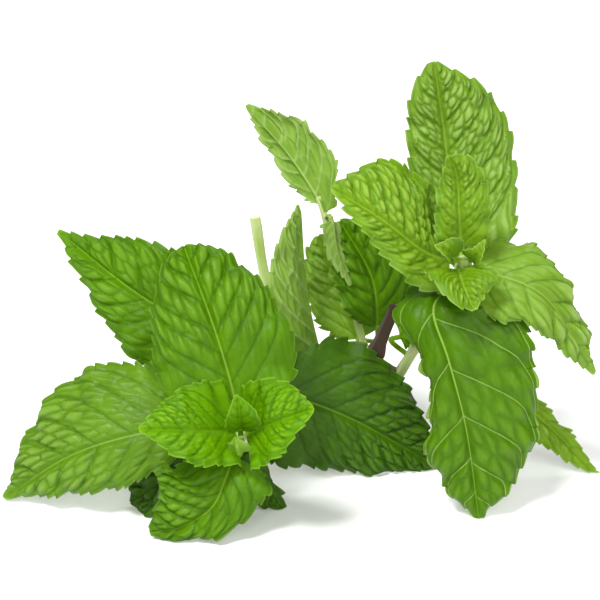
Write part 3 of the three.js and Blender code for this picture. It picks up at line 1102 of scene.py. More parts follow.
    def _cells(
        self, strip: Array, strip_width: Array, out: Array, chance: np.random.Generator
    ) -> tuple[Array, Array, Array]:
        """The pillows between the side veins, and the small cells on them.

        Cells are scattered one to a square of a grid laid along the strips. The edge distance d is
        how much further the second nearest cell's middle is than the nearest one's. A pillow rises
        steeply to a round crown, as 1 - (1 - d)^2.

        Args:
            strip: strip numbers.
            strip_width: millimetres across a strip.
            out: millimetres from the midrib.
            chance: where the scatter comes from.

        Returns:
            The height of the pillows and of the small cells, from 0 to 1, and the edge distance.
        """
        quilting = self.quilting
        pillow_across, pillow_along = quilting.pillow
        rows_per_strip = max(round(float(np.median(strip_width)) / pillow_across), 1)
        slant = math.sin(math.radians(quilting.angle))
        across, along = strip * rows_per_strip, out / (pillow_along * slant)
        near, next_near = scattered_cells(across, along, chance, quilting.wobble)
        edge = next_near - near
        pillow = 1 - (1 - np.clip(edge / self.CROWN_REACH, 0, 1)) ** 2
        fine_across, fine_along = across * self.FINE_CELLS + self.FINE_OFFSET, along * self.FINE_CELLS
        fine_near, fine_next = scattered_cells(fine_across, fine_along, chance, 0.9)
        return pillow, 1 - bell(fine_next - fine_near, 0.35), edge

    def _sway(self, along: Array, out: Array, width: Array, phase: Array) -> Array:
        """The slow rise and fall of the blade: two sine waves at the margin, and one all over it.

        Args:
            along: millimetres from the foot.
            out: millimetres from the midrib.
            width: half widths.
            phase: where the three waves start, in radians.

        Returns:
            Heights in millimetres.
        """
        teeth = self.teeth
        swing = np.sin(2 * np.pi * along / teeth.wave_length + phase[0])
        swing = swing + 0.5 * np.sin(2 * np.pi * along / (teeth.wave_length * 0.57) + phase[1])
        at_margin = teeth.wave * swing * np.clip(out / np.maximum(width, 3), 0, 1.2) ** 2.5
        ways = np.sin(along / self.SWAY_LENGTHS[0] + phase[2]) * np.sin(out / self.SWAY_LENGTHS[1] + phase[0])
        return at_margin + self.SWAY * ways * eased(out, 0, 5)

    def _relief(
        self,
        along: Array,
        out: Array,
        margin: Array,
        strip: Array,
        strip_width: Array,
        width: Array,
        blade: Pair,
        chance: np.random.Generator,
    ) -> tuple[Array, Array, Array, Array]:
        """Heights of the blade above its smooth form.

        Between two side veins the blade rises as half a sine wave, and pillows stand on that. The
        veins are furrows with the profile of a bell curve. Near the margin all of it fades, and a
        slow wave takes over.

        Args:
            along: millimetres from the foot.
            out: millimetres from the midrib.
            margin: millimetres to the margin.
            strip: strip numbers.
            strip_width: millimetres across a strip.
            width: half widths.
            blade: where the blade starts and ends.
            chance: where the unevenness comes from.

        Returns:
            The height, the net of small veins, the pillows' crowns and the ridges below.
        """
        quilting = self.quilting
        blade_start, blade_end = blade
        inside = eased(margin, 0.2, 2.6) * eased(out, 0.2, 2.0)
        inside = inside * eased(along, blade_start, blade_start + 5) * eased(width, 1.0, 4.0)
        grown = eased((along - blade_start) / (blade_end - blade_start), 0.15, 0.7)
        swell = quilting.foot_share + (1 - quilting.foot_share) * grown
        to_vein = np.abs(strip - np.round(strip))
        vein_gap = to_vein * strip_width
        pillow, fine, edge = self._cells(strip, strip_width, out, chance)
        furrow = bell(vein_gap, self.FURROW_HALF)
        height = quilting.strip_height * np.sin(np.pi * np.clip(to_vein, 0, 0.5)) ** 0.8
        height = height + quilting.pillow_height * pillow + quilting.fine_height * fine
        height = (height - quilting.furrow * furrow) * inside * swell
        rib = self.rib_radius(along, blade_start)
        height = height - self.RIB_GROOVE * bell(out, rib + 0.3) * eased(width, 0.8, 3)
        height = height + self._sway(along, out, width, chance.random(3) * 2 * np.pi)
        net = bell(edge * quilting.pillow[0], 0.45) * inside * (0.3 + 0.7 * swell)
        crowns = 0.25 * np.sin(np.pi * to_vein) + 0.75 * pillow + 0.15 * (fine - 0.5)
        quilt = np.clip(crowns, 0, 1) * inside * swell * (1 - 0.8 * furrow)
        ridge = np.sqrt(np.maximum(rib**2 - out**2, 0))
        ridge = ridge + (0.14 * bell(vein_gap, 0.28) + 0.05 * net) * inside
        return height, net, quilt, ridge

    def widest(self) -> float:
        """The leaf's widest half width, in millimetres."""
        return float(np.max([np.max(width) for width in self.half_width]))

    def rib_radius(self, along: Array, blade_start: float) -> Array:
        """Radius of the midrib under the blade, thinning from the stalk to the tip.

        Args:
            along: millimetres from the foot.
            blade_start: where the blade begins.

        Returns:
            Millimetres.
        """
        length = max(run_of(through(self.midrib, np.linspace(0, 1, 40)))[-1] - blade_start, 1.0)
        share = np.clip((along - blade_start) / length, 0, 1)
        size = min(1.0, self.widest() / 9)
        return (STALK_HALF_WIDTH - 0.57 * share**0.6) * (0.45 + 0.55 * size)

    def build(self, shift: Array, joint: Array | None, finishes: Finishes) -> bpy.types.Object:
        """Builds the leaf, dresses it and puts it in the frame.

        Args:
            shift: from the given points' space to the frame, in millimetres.
            joint: the point on its stem, or None.
            finishes: where its skins come from.

        Returns:
            The finished piece.
        """
        spine = self.spine(joint)
        widths = [self._widths(spine, side) for side in (0, 1)]
        run = self._stations(spine, widths)
        steps = [max(int(max(width) / GRID_STEP), 6) for width in widths]
        left, right = (self._half(spine, run, side, steps[side]) for side in (0, 1))
        sheet = {name: left.joined(right, name) for name in Side.__dataclass_fields__}
        middle = sheet["points"] + shift
        over = middle[..., 2] - REST_HEIGHT
        middle[..., 2] = REST_HEIGHT + PRESS_SOFTNESS * np.logaddexp(0, over / PRESS_SOFTNESS)
        thick = RIM_HALF_THICKNESS + (HALF_THICKNESS - RIM_HALF_THICKNESS) * eased(sheet["margin"], 0, 1.5)
        upper = middle + sheet["normals"] * thick[..., None]
        lower = middle - sheet["normals"] * (thick + sheet["ridge"])[..., None]
        points = np.concatenate([upper.reshape(-1, 3), lower.reshape(-1, 3)])
        points[:, 2] = np.maximum(points[:, 2], FLOOR_GAP)
        faces = sheet_faces(*middle.shape[:2])
        slots = np.concatenate([np.full(len(group), slot) for group, slot in zip(faces, (0, 1, 0))])
        finish = self.age.value
        materials = [finishes.get(finish.upper), finishes.get(finish.under)]
        piece = make_piece(f"{self.name}_fine", points, list(faces), materials, slots)
        self._note(piece, sheet, float(np.interp(self.stalk, spine.share, spine.run)))
        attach(piece, BODY)
        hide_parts(self.name)
        return piece

    def _note(self, piece: bpy.types.Object, sheet: dict[str, Array], blade_start: float) -> None:
        """Writes what the skins read on the piece's points, the same above and below.

        Args:
            piece: the leaf's mesh.
            sheet: its grids.
            blade_start: where the blade begins.
        """
        rib = self.rib_radius(sheet["along"], blade_start)
        blade = np.stack([sheet["out"] / (rib * 0.45), sheet["along"], sheet["margin"]], -1)
        reach = max(float(sheet["along"].max()) - blade_start, 1.0)
        faded = 0.7 * eased((sheet["along"] - blade_start) / reach, 0.3, 1.0)
        blade[..., 0] = np.where(sheet["along"] < blade_start, 0, blade[..., 0] + faded)
        veins = np.stack([sheet["strip"], sheet["strip_width"], sheet["net"]], -1)
        note_points(piece, "blade", np.tile(blade.reshape(-1, 3), (2, 1)))
        note_points(piece, "veins", np.tile(veins.reshape(-1, 3), (2, 1)))
        note_points(piece, "quilt", np.tile(sheet["quilt"].ravel(), 2))


# ---- Stem ---------------------------------------------------------------------------------------


@dataclass(frozen=True)
class Stem:
    """A length of squared mint stem, swollen at its nodes. Millimetres."""

    name: str
    skin: StemSkin
    slot: str
    radius: float
    route: tuple[Point, ...]
    before: tuple[Point, ...] = ()  # points that carry it on to the stem it branches from
    beyond: tuple[Point, ...] = ()  # points that carry it on to its growing tip
    nodes: tuple[float, ...] = ()  # shares of its length where leaves or branches join it
    tip_share: float = 1.0  # the far end's radius as a share of the whole
    cut_start: bool = False  # the near end is a cut face, not rounded off
    twigs: tuple[tuple[Point, ...], ...] = ()  # dead stalks that taper off from it
    blush: Pair = (0.0, 0.0)  # from where to where it is reddened, as shares of its length
    seed: int = 1

    SIDES = 28  # of the tube
    STEP = 0.5  # millimetres between its rings
    SQUARENESS = 3.2  # power of the rounded square: 2 is a circle
    FACE = (0.3, -0.9, 0.4)  # the way that one of its flat sides looks, half way along
    NODE_SWELL = 0.32  # how much thicker it is at a node, as a share
    NODE_REACH = 2.2  # how far a node's swelling reaches, in millimetres
    CUT_RIM = 0.72  # where the hollow of a cut end begins, as a share of the radius
    CUT_DEPTHS = (0.12, 0.3)  # of that hollow at its rim and middle, in millimetres
    END_RING = 0.6  # size of the last ring of a rounded end, as a share of the radius
    END_REACHES = (0.5, 0.7)  # how far that ring and the end's pole stand out, in radii
    TWIG_SHARES = (0.66, 0.066)  # of the stem's radius, at a twig's foot and tip

    def line(self) -> Array:
        """The stem's middle line, in the given points' space."""
        return self._evenly(self.before + self.route + self.beyond)

    def _evenly(self, points: tuple[Point, ...]) -> Array:
        """A smooth line through points, sampled at even steps.

        Args:
            points: the given points.

        Returns:
            The samples.
        """
        coarse = through(points, np.linspace(0, 1, 400))
        run = run_of(coarse)
        wanted = np.linspace(0, run[-1], max(int(run[-1] / self.STEP), 12))
        return np.stack([np.interp(wanted, run, coarse[:, axis]) for axis in range(3)], -1)

    def build(self, shift: Array, finishes: Finishes) -> bpy.types.Object:
        """Builds the stem with its twigs as closed tubes in one piece, and dresses it.

        The size falls towards the tip and swells by a bell curve at each node. A twig starts at two
        thirds of the stem's size and tapers to a point.

        Args:
            shift: from the given points' space to the frame, in millimetres.
            finishes: where its skin comes from.

        Returns:
            The finished piece.
        """
        chance = np.random.default_rng(self.seed)
        line = self.line()
        run = run_of(line)
        share = run / run[-1]
        size = self.radius * (1 - (1 - self.tip_share) * share**1.5)
        for place in self.nodes:
            size = size * (1 + self.NODE_SWELL * bell(run - place * run[-1], self.NODE_REACH))
        size = size * (1 + 0.05 * np.sin(run / 3.1 + chance.random() * 6))
        tubes = [self._tube(line + shift, size)]
        for twig in self.twigs:
            side = self._evenly(twig)
            tubes.append(self._tube(side + shift, self.radius * np.linspace(*self.TWIG_SHARES, len(side))))
        starts = np.cumsum([0] + [len(tube[0]) for tube in tubes])
        points = np.concatenate([tube[0] for tube in tubes])
        points[:, 2] = np.maximum(points[:, 2], FLOOR_GAP)
        faces = [group + start for tube, start in zip(tubes, starts) for group in tube[1]]
        slots = np.zeros(sum(len(group) for group in faces))
        piece = make_piece(f"{self.name}_fine", points, faces, [finishes.get(self.skin)], slots)
        shares = np.concatenate([tube[2] for tube in tubes])
        middle = (self.blush[0] + self.blush[1]) / 2
        reach = max((self.blush[1] - self.blush[0]) / 2, 1e-3)
        red = bell(shares - middle, reach) * (self.blush[1] > self.blush[0])
        cut = np.zeros(len(points))
        if self.cut_start:
            cut[: self.SIDES] = 1
            cut[starts[1] - 2] = 1
        note_points(piece, "stem", np.stack([shares, red, cut], -1))
        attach(piece, BODY)
        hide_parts(self.name)
        return piece

    def _tube(self, line: Array, size: Array) -> tuple[Array, list[Array], Array]:
        """A closed tube along a line.

        Each ring is a rounded square: its radius is one over the root of |cos|^p + |sin|^p. A cut
        end is a rim with a shallow hollow; any other end rounds off.

        Args:
            line: its middle line.
            size: its radius at each point of the line.

        Returns:
            Its points, its faces in groups, and each point's share of the length.
        """
        run = run_of(line)
        share = run / run[-1]
        tangent = unit(np.gradient(line, axis=0))
        normal = carried(tangent, np.array(self.FACE), len(line) // 2)
        across = np.cross(tangent, normal)
        turn = np.linspace(0, 2 * np.pi, self.SIDES, endpoint=False)
        p = self.SQUARENESS
        ring = (np.abs(np.cos(turn)) ** p + np.abs(np.sin(turn)) ** p) ** (-1 / p)
        ring = ring * (1 - 0.05 * np.cos(4 * turn)) / ring.mean()
        cosines, sines = np.cos(turn)[None, :, None], np.sin(turn)[None, :, None]
        spokes = normal[:, None] * cosines + across[:, None] * sines
        rings = line[:, None] + spokes * (size[:, None] * ring[None])[..., None]
        cut = self.cut_start
        ring_reach, pole_reach = self.END_REACHES
        ring_move, pole_move = self.CUT_DEPTHS if cut else (-size[0] * ring_reach, -size[0] * pole_reach)
        near_inner = line[0] + (rings[0] - line[0]) * (self.CUT_RIM if cut else self.END_RING)
        near_inner = near_inner + tangent[0] * ring_move
        far_inner = line[-1] + (rings[-1] - line[-1]) * self.END_RING
        far_inner = far_inner + tangent[-1] * size[-1] * ring_reach
        near_pole = line[0] + tangent[0] * pole_move
        far_pole = line[-1] + tangent[-1] * size[-1] * pole_reach
        whole = np.concatenate([near_inner[None], rings, far_inner[None]])
        points = np.concatenate([whole.reshape(-1, 3), near_pole[None], far_pole[None]])
        rows, sides = whole.shape[:2]
        grid = np.arange(rows * sides).reshape(rows, sides)
        ahead = np.roll(grid, -1, axis=1)
        walls = np.stack([grid[:-1], ahead[:-1], ahead[1:], grid[1:]], -1).reshape(-1, 4)
        near = np.stack([ahead[0], grid[0], np.full(sides, rows * sides)], -1)
        far = np.stack([grid[-1], ahead[-1], np.full(sides, rows * sides + 1)], -1)
        shares = np.concatenate([[share[0]], share, [share[-1]]]).repeat(sides)
        return points, [walls, near, far], np.concatenate([shares, [0.0, 1.0]])


# ---- The sprig's parts --------------------------------------------------------------------------


@dataclass(frozen=True)
class Shoot:
    """One shoot of the sprig: its stems and its leaves."""

    name: str
    stems: tuple[Stem, ...]
    leaves: tuple[Leaf, ...]


STEMS = Shoot(
    "stems",
    (
        Stem(
            "main_stem", GREEN_STEM, "green_stem", 1.5,
            ((-13, 45, 63), (-10, 42, 45), (-4, 37, 25), (4, 31, 10), (11, 27, 5)),
            beyond=((13, 25.5, 6),), nodes=(0.42, 0.97), cut_start=True, seed=3,
        ),
        Stem(
            "left_shoot_stem", GREEN_STEM, "green_stem", 1.3,
            ((10, 24, 8), (0, 14, 23), (-10, 0, 32), (-15, -14, 31), (-15, -24, 26)),
            before=((13, 26, 5.5),), beyond=((-15.5, -30, 27),), nodes=(0.05, 0.55, 0.82), tip_share=1.2,
            seed=4,
        ),
        Stem(
            "right_shoot_stem", GREEN_STEM, "green_stem", 1.3,
            ((14, 25, 6), (22, 22, 14), (28, 17, 26), (33, 11, 38), (38, 4, 51), (43, -11, 67)),
            before=((11, 26.5, 5.5),), beyond=((43, -13.5, 70),), nodes=(0.05, 0.5, 0.95), tip_share=1.4,
            blush=(0.45, 0.68), seed=5,
        ),
        Stem(
            "side_shoot_stem", GREEN_STEM, "green_stem", 1.0,
            ((20, 24, 16), (18, 21, 33), (11, 20, 57), (7.6, 21.2, 68.5)),
            before=((22, 22, 14),), beyond=((6, 22, 73), (5, 22.6, 76)), nodes=(0.3, 0.9), tip_share=0.75,
            blush=(0.5, 0.9), seed=6,
        ),
        Stem(
            "dried_stub", DRIED_STEM, "dried_stem", 1.9,
            ((21, 14.5, 31), (22, 13, 36), (23.6, 12, 41), (26, 10, 48)),
            before=((27.5, 17.5, 25), (24.5, 16.5, 27)), nodes=(0.45,), tip_share=0.85,
            twigs=(
                ((21, 14, 33), (19, 11.5, 32.5), (17, 10, 31)),
                ((21.5, 14, 33), (21, 11.5, 31), (20, 10, 29)),
            ),
            seed=7,
        ),
    ),
    (),
)

LEFT_SHOOT = Shoot(
    "left_shoot",
    (),
    (
        Leaf(
            "left_rear_leaf", Age.GROWN, face=(-0.1, -0.9, 0.3),
            midrib=((-14, 2, 37), (-43, 10, 51), (-67, 20, 67)),
            half_width=((13, 17, 16, 12.5, 8.5, 4.5, 0.2), (8, 14, 16, 15, 11.5, 5, 0.2)),
            fold=(5, 15), curl=(20, 20), stalk=0.1, grows_from="left_shoot_stem", seed=11,
        ),
        Leaf(
            "left_under_leaf", Age.SHADED, face=(-0.2, -0.5, 0.8),
            midrib=((-18, -15, 28), (-33, -18, 13), (-46, -15, 1)),
            half_width=(12, 10),
            fold=(5, 5), curl=(20, 20), stalk=0.14, grows_from="left_shoot_stem", seed=12,
        ),
        Leaf(
            "left_shaded_leaf", Age.SHADED, face=(0.2, -0.5, 0.8),
            midrib=((-13, -15, 28), (-10.5, -16, 11), (-4, -17, -1)),
            half_width=((2, 2.5, 2.5, 2.5, 2, 1.5, 0.3), (4, 7, 8, 7.5, 5.5, 3, 0.3)),
            fold=(5, 5), curl=(20, 20), stalk=0.3, grows_from="left_shoot_stem", seed=13,
        ),
        Leaf(
            "left_spreading_leaf", Age.SATIN, face=(-0.05, -0.8, 0.6),
            midrib=((-18, -20, 27), (-41, -24, 25.5), (-61.5, -20, 17), (-81, -12.5, 1)),
            half_width=((5, 9, 12, 12.5, 10, 5.5, 0.3), (8, 16, 21.3, 21.8, 18.5, 11.3, 0.3)),
            fold=(-8, 4), curl=(25, 20), stalk=0.1, grows_from="left_shoot_stem", seed=14,
        ),
        Leaf(
            "left_upright_leaf", Age.GROWN, face=(0.05, -1, 0.25),
            midrib=((-16.5, -22, 30.5), (-18.5, -19.5, 38.5), (-23, -14, 52), (-31, -2, 70)),
            half_width=(18.5, 19.5),
            fold=(8, 8), curl=(25, 30), stalk=0.06, fullness=BLUNT, grows_from="left_shoot_stem",
            seed=15,
        ),
        Leaf(
            "left_front_leaf", Age.GROWN, face=(0.1, -0.9, 0.4),
            midrib=((-17, -28, 22), (-19.5, -35, 17), (-23, -38.5, 10.5), (-31, -38, 4.5), (-39.5, -36, 2)),
            half_width=((9, 11.5, 10.5, 8, 5.5, 4, 0.5), (9, 12, 15, 17.5, 17, 12, 1)),
            fold=(5, 5), curl=(25, 25), stalk=0.05, grows_from="left_shoot_stem", seed=16,
        ),
        Leaf(
            "left_inner_leaf_left", Age.YOUNG, face=(0, -0.75, 0.65),
            midrib=((-16, -29, 28), (-29, -40, 33), (-41, -45, 35.5)),
            half_width=((9, 9, 9.3, 8.8, 6.3, 3, 0.3), (14, 13.5, 13, 11, 8, 4.5, 0.3)),
            fold=(5, 5), curl=(15, 15), stalk=0.02, quilting=YOUNG_QUILT, teeth=YOUNG_TEETH,
            grows_from="left_shoot_stem", seed=17,
        ),
        Leaf(
            "left_inner_leaf_right", Age.YOUNG, face=(0, -0.85, 0.5),
            midrib=((-14.5, -29, 27.5), (-5.5, -41, 36), (3.5, -46, 41.5)),
            half_width=((8, 11, 12, 11.3, 9.5, 7, 0.5), (9.5, 10, 9.4, 8, 5.5, 3, 0.3)),
            fold=(15, 15), curl=(15, 15), stalk=0.02, quilting=YOUNG_QUILT, teeth=YOUNG_TEETH,
            grows_from="left_shoot_stem", seed=18,
        ),
        Leaf(
            "left_bud_leaf_upper", Age.YOUNG, face=(0, -0.9, 0.1),
            midrib=((-15.5, -32.5, 29.5), (-15.5, -38, 37), (-16.5, -39, 42.5)),
            half_width=((3, 4, 3.8, 2.8, 1.6, 0.3), (2.5, 4.8, 5.6, 4.6, 2.6, 0.3)),
            fold=(25, 25), curl=(10, 10), stalk=0.03, quilting=BUD_QUILT, teeth=BUD_TEETH,
            grows_from="left_shoot_stem", seed=19,
        ),
        Leaf(
            "left_bud_leaf_lower", Age.YOUNG, face=(0.1, 0.6, 0.8),
            midrib=((-15.5, -36.5, 25), (-16, -40, 28), (-16.5, -41, 31.5)),
            half_width=((2, 3.5, 3.4, 2.6, 1.4, 0.3), (2, 3.5, 3.4, 2.6, 1.4, 0.3)),
            fold=(30, 30), curl=(10, 10), stalk=0.03, quilting=BUD_QUILT, teeth=BUD_TEETH,
            grows_from="left_shoot_stem", seed=20,
        ),
    ),
)

MIDDLE = Shoot(
    "middle",
    (),
    (
        Leaf(
            "middle_dark_leaf", Age.SHADED, face=(0, -0.95, 0.25),
            midrib=((-7, -3, 29), (14, 3, 18), (39, 8, 1)),
            half_width=((10, 18, 20, 18.5, 15, 9, 0.5), (15, 20, 19, 16, 13, 8, 0.5)),
            fold=(0, 0), curl=(15, 15), stalk=0.04, grows_from="left_shoot_stem", seed=21,
        ),
        Leaf(
            "middle_hidden_leaf", Age.YOUNG, face=(0, -0.8, 0.6),
            midrib=((26, 18, 36), (39, 19, 38), (53, 16, 33)),
            half_width=((8, 10, 10, 10, 8, 5, 0.5), (3, 5, 6, 6, 5, 3, 0.5)),
            fold=(10, 10), curl=(20, 20), stalk=0.08, grows_from="right_shoot_stem", seed=22,
        ),
        Leaf(
            "middle_floor_leaf", Age.SHADED, face=(0, 0.1, 1),
            midrib=((14, 30, 4), (18, 46, 6), (26, 64, -1)),
            half_width=(13, 13),
            fold=(8, 8), curl=(20, 20), stalk=0.12, grows_from="main_stem", seed=23,
        ),
    ),
)

REAR = Shoot(
    "rear",
    (),
    (
        Leaf(
            "rear_lance_leaf", Age.PALE_BACKED, face=(0.2, 0.95, 0.2),
            midrib=((7, 22, 71.5), (4.5, 23.5, 77), (-3.5, 29, 87.5), (-15, 35, 99)),
            half_width=((3.5, 5, 8.5, 10.5, 9.5, 6, 0.3), (0.8, 1, 4, 5.5, 5, 3.4, 0.3)),
            fold=(10, 10), curl=(20, 20), stalk=0.02, teeth=FINE_TEETH, grows_from="side_shoot_stem",
            seed=31,
        ),
        Leaf(
            "rear_small_leaf", Age.PALE_BACKED, face=(-0.5, 0.85, -0.1),
            midrib=((8.5, 18, 71.5), (10, 15, 63), (14, 13, 53.5)),
            half_width=((2.5, 3, 2.8, 2.4, 1.8, 1, 0.2), (2, 2.4, 2.2, 1.8, 1.4, 0.8, 0.2)),
            fold=(20, 20), curl=(20, 20), stalk=0.06, quilting=YOUNG_QUILT, teeth=YOUNG_TEETH,
            grows_from="side_shoot_stem", seed=32,
        ),
        Leaf(
            "rear_folded_leaf", Age.PALE_BACKED, face=(-0.3, -0.95, 0.1),
            midrib=((5, 17, 29.5), (1, 17, 51), (-0.5, 22, 74)),
            half_width=((2, 9, 8, 5, 3, 2, 0.3), (8, 13, 17, 16, 13, 8, 0.5)),
            fold=(0, 70), curl=(10, -95), stalk=0.04, teeth=FINE_TEETH, grows_from="left_shoot_stem",
            seed=33,
        ),
        Leaf(
            "rear_glossy_leaf", Age.WAXY, face=(-0.1, -0.95, 0.3),
            midrib=((17, 24, 31), (13, 30, 45), (5, 34, 61)),
            half_width=(11, 10),
            fold=(10, 10), curl=(20, 20), stalk=0.08, grows_from="side_shoot_stem", seed=34,
        ),
        Leaf(
            "rear_dark_leaf", Age.GROWN, face=(0.1, -0.95, 0.2),
            midrib=((22, 20, 35), (20, 17, 54), (11, 20, 70)),
            half_width=(10, 12),
            fold=(10, 10), curl=(20, 20), stalk=0.1, grows_from="side_shoot_stem", seed=35,
        ),
    ),
)

RIGHT_SHOOT = Shoot(
    "right_shoot",
    (),
    (
        Leaf(
            "right_floor_leaf", Age.PALE_BACKED, face=(0.3, -0.9, 0.5),
            midrib=((36, 11, 37), (64, 10, 18), (84, 6, -1)),
            half_width=((3, 3.5, 3.8, 3.5, 3, 2, 0.3), (3, 5, 6, 6, 5, 3, 0.3)),
            fold=(10, 10), curl=(20, 20), stalk=0.1, teeth=FINE_TEETH, grows_from="right_shoot_stem",
            seed=41,
        ),
        Leaf(
            "right_upright_leaf", Age.WAXY, face=(0.05, -1, 0.15),
            midrib=((42, -1, 64), (39, 6, 94), (35, 4, 119)),
            half_width=((10, 10.5, 11, 10.3, 9.3, 7.6, 1.5), (14, 17.5, 18, 18, 15.5, 10.5, 0.5)),
            fold=(15, 10), curl=(25, 25), stalk=0.03, quilting=PUCKERED, teeth=SPINY_TEETH,
            grows_from="right_shoot_stem", seed=42,
        ),
        Leaf(
            "right_hanging_leaf", Age.LEATHERY, face=(0.05, -1, 0.1),
            midrib=((40, -7, 61), (35, -16, 57), (39, -22, 45), (44, -24, 26), (48, -24, 0)),
            half_width=((13, 17, 20.5, 22, 20.5, 17, 1), (12, 12, 9, 7.5, 9, 12, 1)),
            fold=(5, 5), curl=(25, 60), stalk=0.03, quilting=WIDE_NET, teeth=ROUND_TEETH,
            grows_from="right_shoot_stem", seed=43,
        ),
        Leaf(
            "right_pale_leaf", Age.PALE, face=(0.1, -0.8, 0.6),
            midrib=((40.5, -7, 67.5), (32.5, -10, 71.5), (20.5, -14, 82), (8, -14, 90)),
            half_width=((8, 9.5, 9.5, 7.8, 6, 3.4, 0.3), (5, 5.5, 8, 14.5, 15.5, 12.5, 1)),
            fold=(10, 10), curl=(20, 15), stalk=0.03, quilting=PUCKERED, grows_from="right_shoot_stem",
            seed=44,
        ),
        Leaf(
            "right_arching_leaf", Age.WAXY, face=(0.3, -0.7, 0.7),
            midrib=((45, -8, 66.5), (64, -16, 61), (79, -11, 37)),
            half_width=((12, 13.5, 12.5, 10.5, 7.5, 5, 0.5), (6, 12, 12, 9.5, 7, 4, 0.5)),
            fold=(5, 5), curl=(25, 30), stalk=0.03, teeth=FINE_TEETH, roll=(0, 40),
            grows_from="right_shoot_stem", seed=45,
        ),
        Leaf(
            "right_inner_upright_leaf", Age.PALE, face=(0, -1, 0.2),
            midrib=((42.5, -10, 71.5), (41.5, -12, 82), (40.5, -13, 93), (38, -17, 99.5)),
            half_width=((5, 6.5, 6.2, 5.5, 4, 2.4, 0.5), (6, 7.5, 8, 7.8, 6.4, 4.8, 1)),
            fold=(15, 15), curl=(20, 20), stalk=0.04, quilting=FINE_QUILT, teeth=YOUNG_TEETH,
            grows_from="right_shoot_stem", seed=46,
        ),
        Leaf(
            "right_inner_front_leaf", Age.PALE, face=(0.1, -0.8, 0.6),
            midrib=((41.5, -14.5, 68), (42.5, -24, 66), (45, -27, 61)),
            half_width=((7, 7.5, 9, 10, 6.5, 3, 0.3), (9.5, 9.5, 8, 6.5, 5, 3, 0.3)),
            fold=(15, 20), curl=(20, 20), stalk=0.02, quilting=FINE_QUILT, teeth=YOUNG_TEETH,
            grows_from="right_shoot_stem", seed=47,
        ),
        Leaf(
            "right_bud_leaf_left", Age.PALE, face=(0.3, -0.9, 0.3),
            midrib=((40.2, -15.5, 71), (37.8, -20.5, 75), (34.5, -22, 77)),
            half_width=((2, 2.2, 2, 1.8, 1.4, 0.8, 0.2), (3, 4.6, 4.8, 4.2, 2.8, 1.2, 0.2)),
            fold=(25, 25), curl=(10, 10), stalk=0.03, quilting=BUD_QUILT, teeth=BUD_TEETH,
            grows_from="right_shoot_stem", seed=48,
        ),
        Leaf(
            "right_bud_leaf_right", Age.PALE, face=(-0.3, -0.9, 0.3),
            midrib=((44.6, -15.5, 70.8), (46, -20.5, 74), (47.5, -22, 78.5)),
            half_width=((2.5, 3.4, 3.5, 2.5, 1.8, 1, 0.2), (1.5, 1.8, 1.8, 1.6, 1.3, 0.8, 0.2)),
            fold=(25, 25), curl=(10, 10), stalk=0.03, quilting=BUD_QUILT, teeth=BUD_TEETH,
            grows_from="right_shoot_stem", seed=49,
        ),
    ),
)

SHOOTS = (STEMS, LEFT_SHOOT, MIDDLE, REAR, RIGHT_SHOOT)


class Sprig:
    """The whole sprig: every stem and leaf, put where the frame has them."""

    def __init__(self, shoots: tuple[Shoot, ...]) -> None:
        """Collects the stems' lines and finds the shift into the frame.

        Args:
            shoots: the sprig's parts.
        """
        self.shoots = shoots
        self.finishes = Finishes()
        self.lines = {stem.name: stem.line() for shoot in shoots for stem in shoot.stems}
        gaps = []
        for leaf in (leaf for shoot in shoots for leaf in shoot.leaves):
            low, high = (np.array(corner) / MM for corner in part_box(leaf.name))
            gaps.append((low + high) / 2 - leaf.slab_middle())
        self.shift = np.median(gaps, axis=0)
        self.spread = np.abs(np.array(gaps) - self.shift).max()

    def joint(self, leaf: Leaf) -> Array | None:
        """The point of its stem's middle line that is nearest to a leaf's foot.

        Args:
            leaf: the leaf.

        Returns:
            The point, or None where the leaf keeps its own foot.
        """
        if leaf.grows_from not in self.lines:
            return None
        line = self.lines[leaf.grows_from]
        return line[np.argmin(np.linalg.norm(line - np.array(leaf.midrib[0]), axis=1))]

    def build(self) -> None:
        """Builds every piece and reports it."""
        log.info("shift into the frame %s mm, leaves agree to %.3f mm", self.shift.round(3), self.spread)
        for shoot in self.shoots:
            for stem in shoot.stems:
                self._report(shoot.name, stem.build(self.shift, self.finishes))
            for leaf in shoot.leaves:
                self._report(shoot.name, leaf.build(self.shift, self.joint(leaf), self.finishes))

    @staticmethod
    def _report(part: str, piece: bpy.types.Object) -> None:
        """Logs a finished piece.

        Args:
            part: which part of the sprig it is in.
            piece: the piece.
        """
        log.info("%s: %s, %d faces", part, piece.name, len(piece.data.polygons))


# ---- Studio -------------------------------------------------------------------------------------


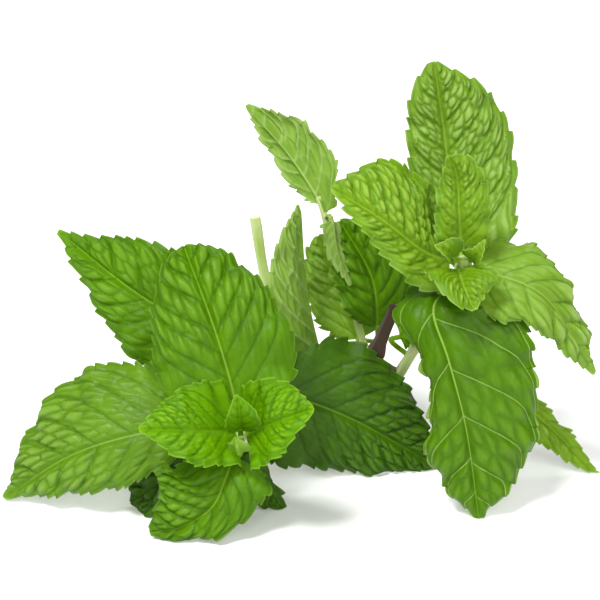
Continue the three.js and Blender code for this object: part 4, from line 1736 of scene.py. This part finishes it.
@dataclass(frozen=True)
class Studio:
    """A white table top under large soft lights, and the camera."""

    lens_mm: float = 133.3
    distance: float = 0.6  # metres from the camera to what it looks at
    elevation: float = 20.0  # degrees that the camera looks down
    aim_mm: Point = (-1.6, -8.8, 54.0)  # from the middle of the sprig's foot
    floor_size: float = 6.0  # metres
    floor_colours: tuple[str, str] = ("fafafa", "ffffff")
    floor_grain_mm: float = 25.0
    room_light: float = 0.2  # share of the room's white that lights the sprig

    def build(self) -> None:
        """Builds the floor, the lights, the world and the camera."""
        self._floor()
        self._light("overhead", strength=3.4, spread=16, aim=(-35, 34))
        self._light("behind", strength=1.8, spread=50, aim=(160, 50))
        self._light("front", strength=1.8, spread=40, aim=(15, 58))
        self._world()
        self._camera()
        scene = bpy.context.scene
        scene.view_settings.view_transform = "Standard"
        scene.view_settings.look = "None"

    def _floor(self) -> None:
        """A wide matt sheet of white board under the sprig."""
        material, tree = new_material("white_matt_board")
        where = add_node(tree, "TexCoord").outputs["Object"]
        noise = add_node(tree, "TexNoise", {"Vector": where, "Scale": 1 / (self.floor_grain_mm * MM)})
        dull, bright = (linear(colour) for colour in self.floor_colours)
        shade = add_node(tree, "Mix", {0: noise.outputs[0], 6: dull, 7: bright}, data_type="RGBA")
        board = add_node(
            tree,
            "BsdfPrincipled",
            {"Base Color": shade.outputs[2], "Roughness": 0.9, "Specular IOR Level": 0.1},
        )
        add_node(tree, "OutputMaterial", {"Surface": board.outputs[0]})
        half = self.floor_size / 2 / MM
        corners = np.array([[-half, -half, 0], [half, -half, 0], [half, half, 0], [-half, half, 0]])
        floor = make_piece("table_top", corners, [np.array([[0, 1, 2, 3]])], [material], np.zeros(1))

    def _light(self, name: str, strength: float, spread: float, aim: Pair) -> None:
        """A far, wide, soft light.

        Args:
            name: its name.
            strength: watts to a square metre.
            spread: how wide it looks from the sprig, in degrees.
            aim: how far it stands round from the front, to the right if positive, and how far down
                from overhead, in degrees.
        """
        data = bpy.data.lights.new(name, "SUN")
        data.energy = strength
        data.angle = math.radians(spread)
        light = bpy.data.objects.new(name, data)
        turn, lean = (math.radians(value) for value in aim)
        light.rotation_euler = (lean, 0, turn)
        bpy.context.scene.collection.objects.link(light)

    def _world(self) -> None:
        """A white room: it looks white, and it lights the sprig with less than that."""
        world = bpy.data.worlds.new("studio_room")
        world.use_nodes = True
        tree = world.node_tree
        tree.nodes.clear()
        seen = add_node(tree, "LightPath").outputs["Is Camera Ray"]
        strength = add_node(tree, "MapRange", {0: seen, 1: 0.0, 2: 1.0, 3: self.room_light, 4: 1.0})
        room = add_node(tree, "Background", {"Color": (1, 1, 1, 1), "Strength": strength.outputs[0]})
        add_node(tree, "OutputWorld", {"Surface": room.outputs[0]})
        bpy.context.scene.world = world

    def _camera(self) -> None:
        """The camera, level across and looking down on the sprig's middle."""
        data = bpy.data.cameras.new("camera")
        data.lens = self.lens_mm
        data.sensor_width = 36.0
        data.clip_start = 0.01
        data.clip_end = 50.0
        camera = bpy.data.objects.new("camera", data)
        down = math.radians(self.elevation)
        target = [value * MM for value in self.aim_mm]
        camera.location = (
            target[0],
            target[1] - self.distance * math.cos(down),
            target[2] + self.distance * math.sin(down),
        )
        camera.rotation_euler = (math.pi / 2 - down, 0, 0)
        bpy.context.scene.collection.objects.link(camera)
        bpy.context.scene.camera = camera


def main() -> None:
    """Builds the sprig and its studio."""
    logging.basicConfig(level=logging.INFO, format="%(name)s: %(message)s")
    Sprig(SHOOTS).build()
    Studio().build()


if __name__ == "__main__":
    main()
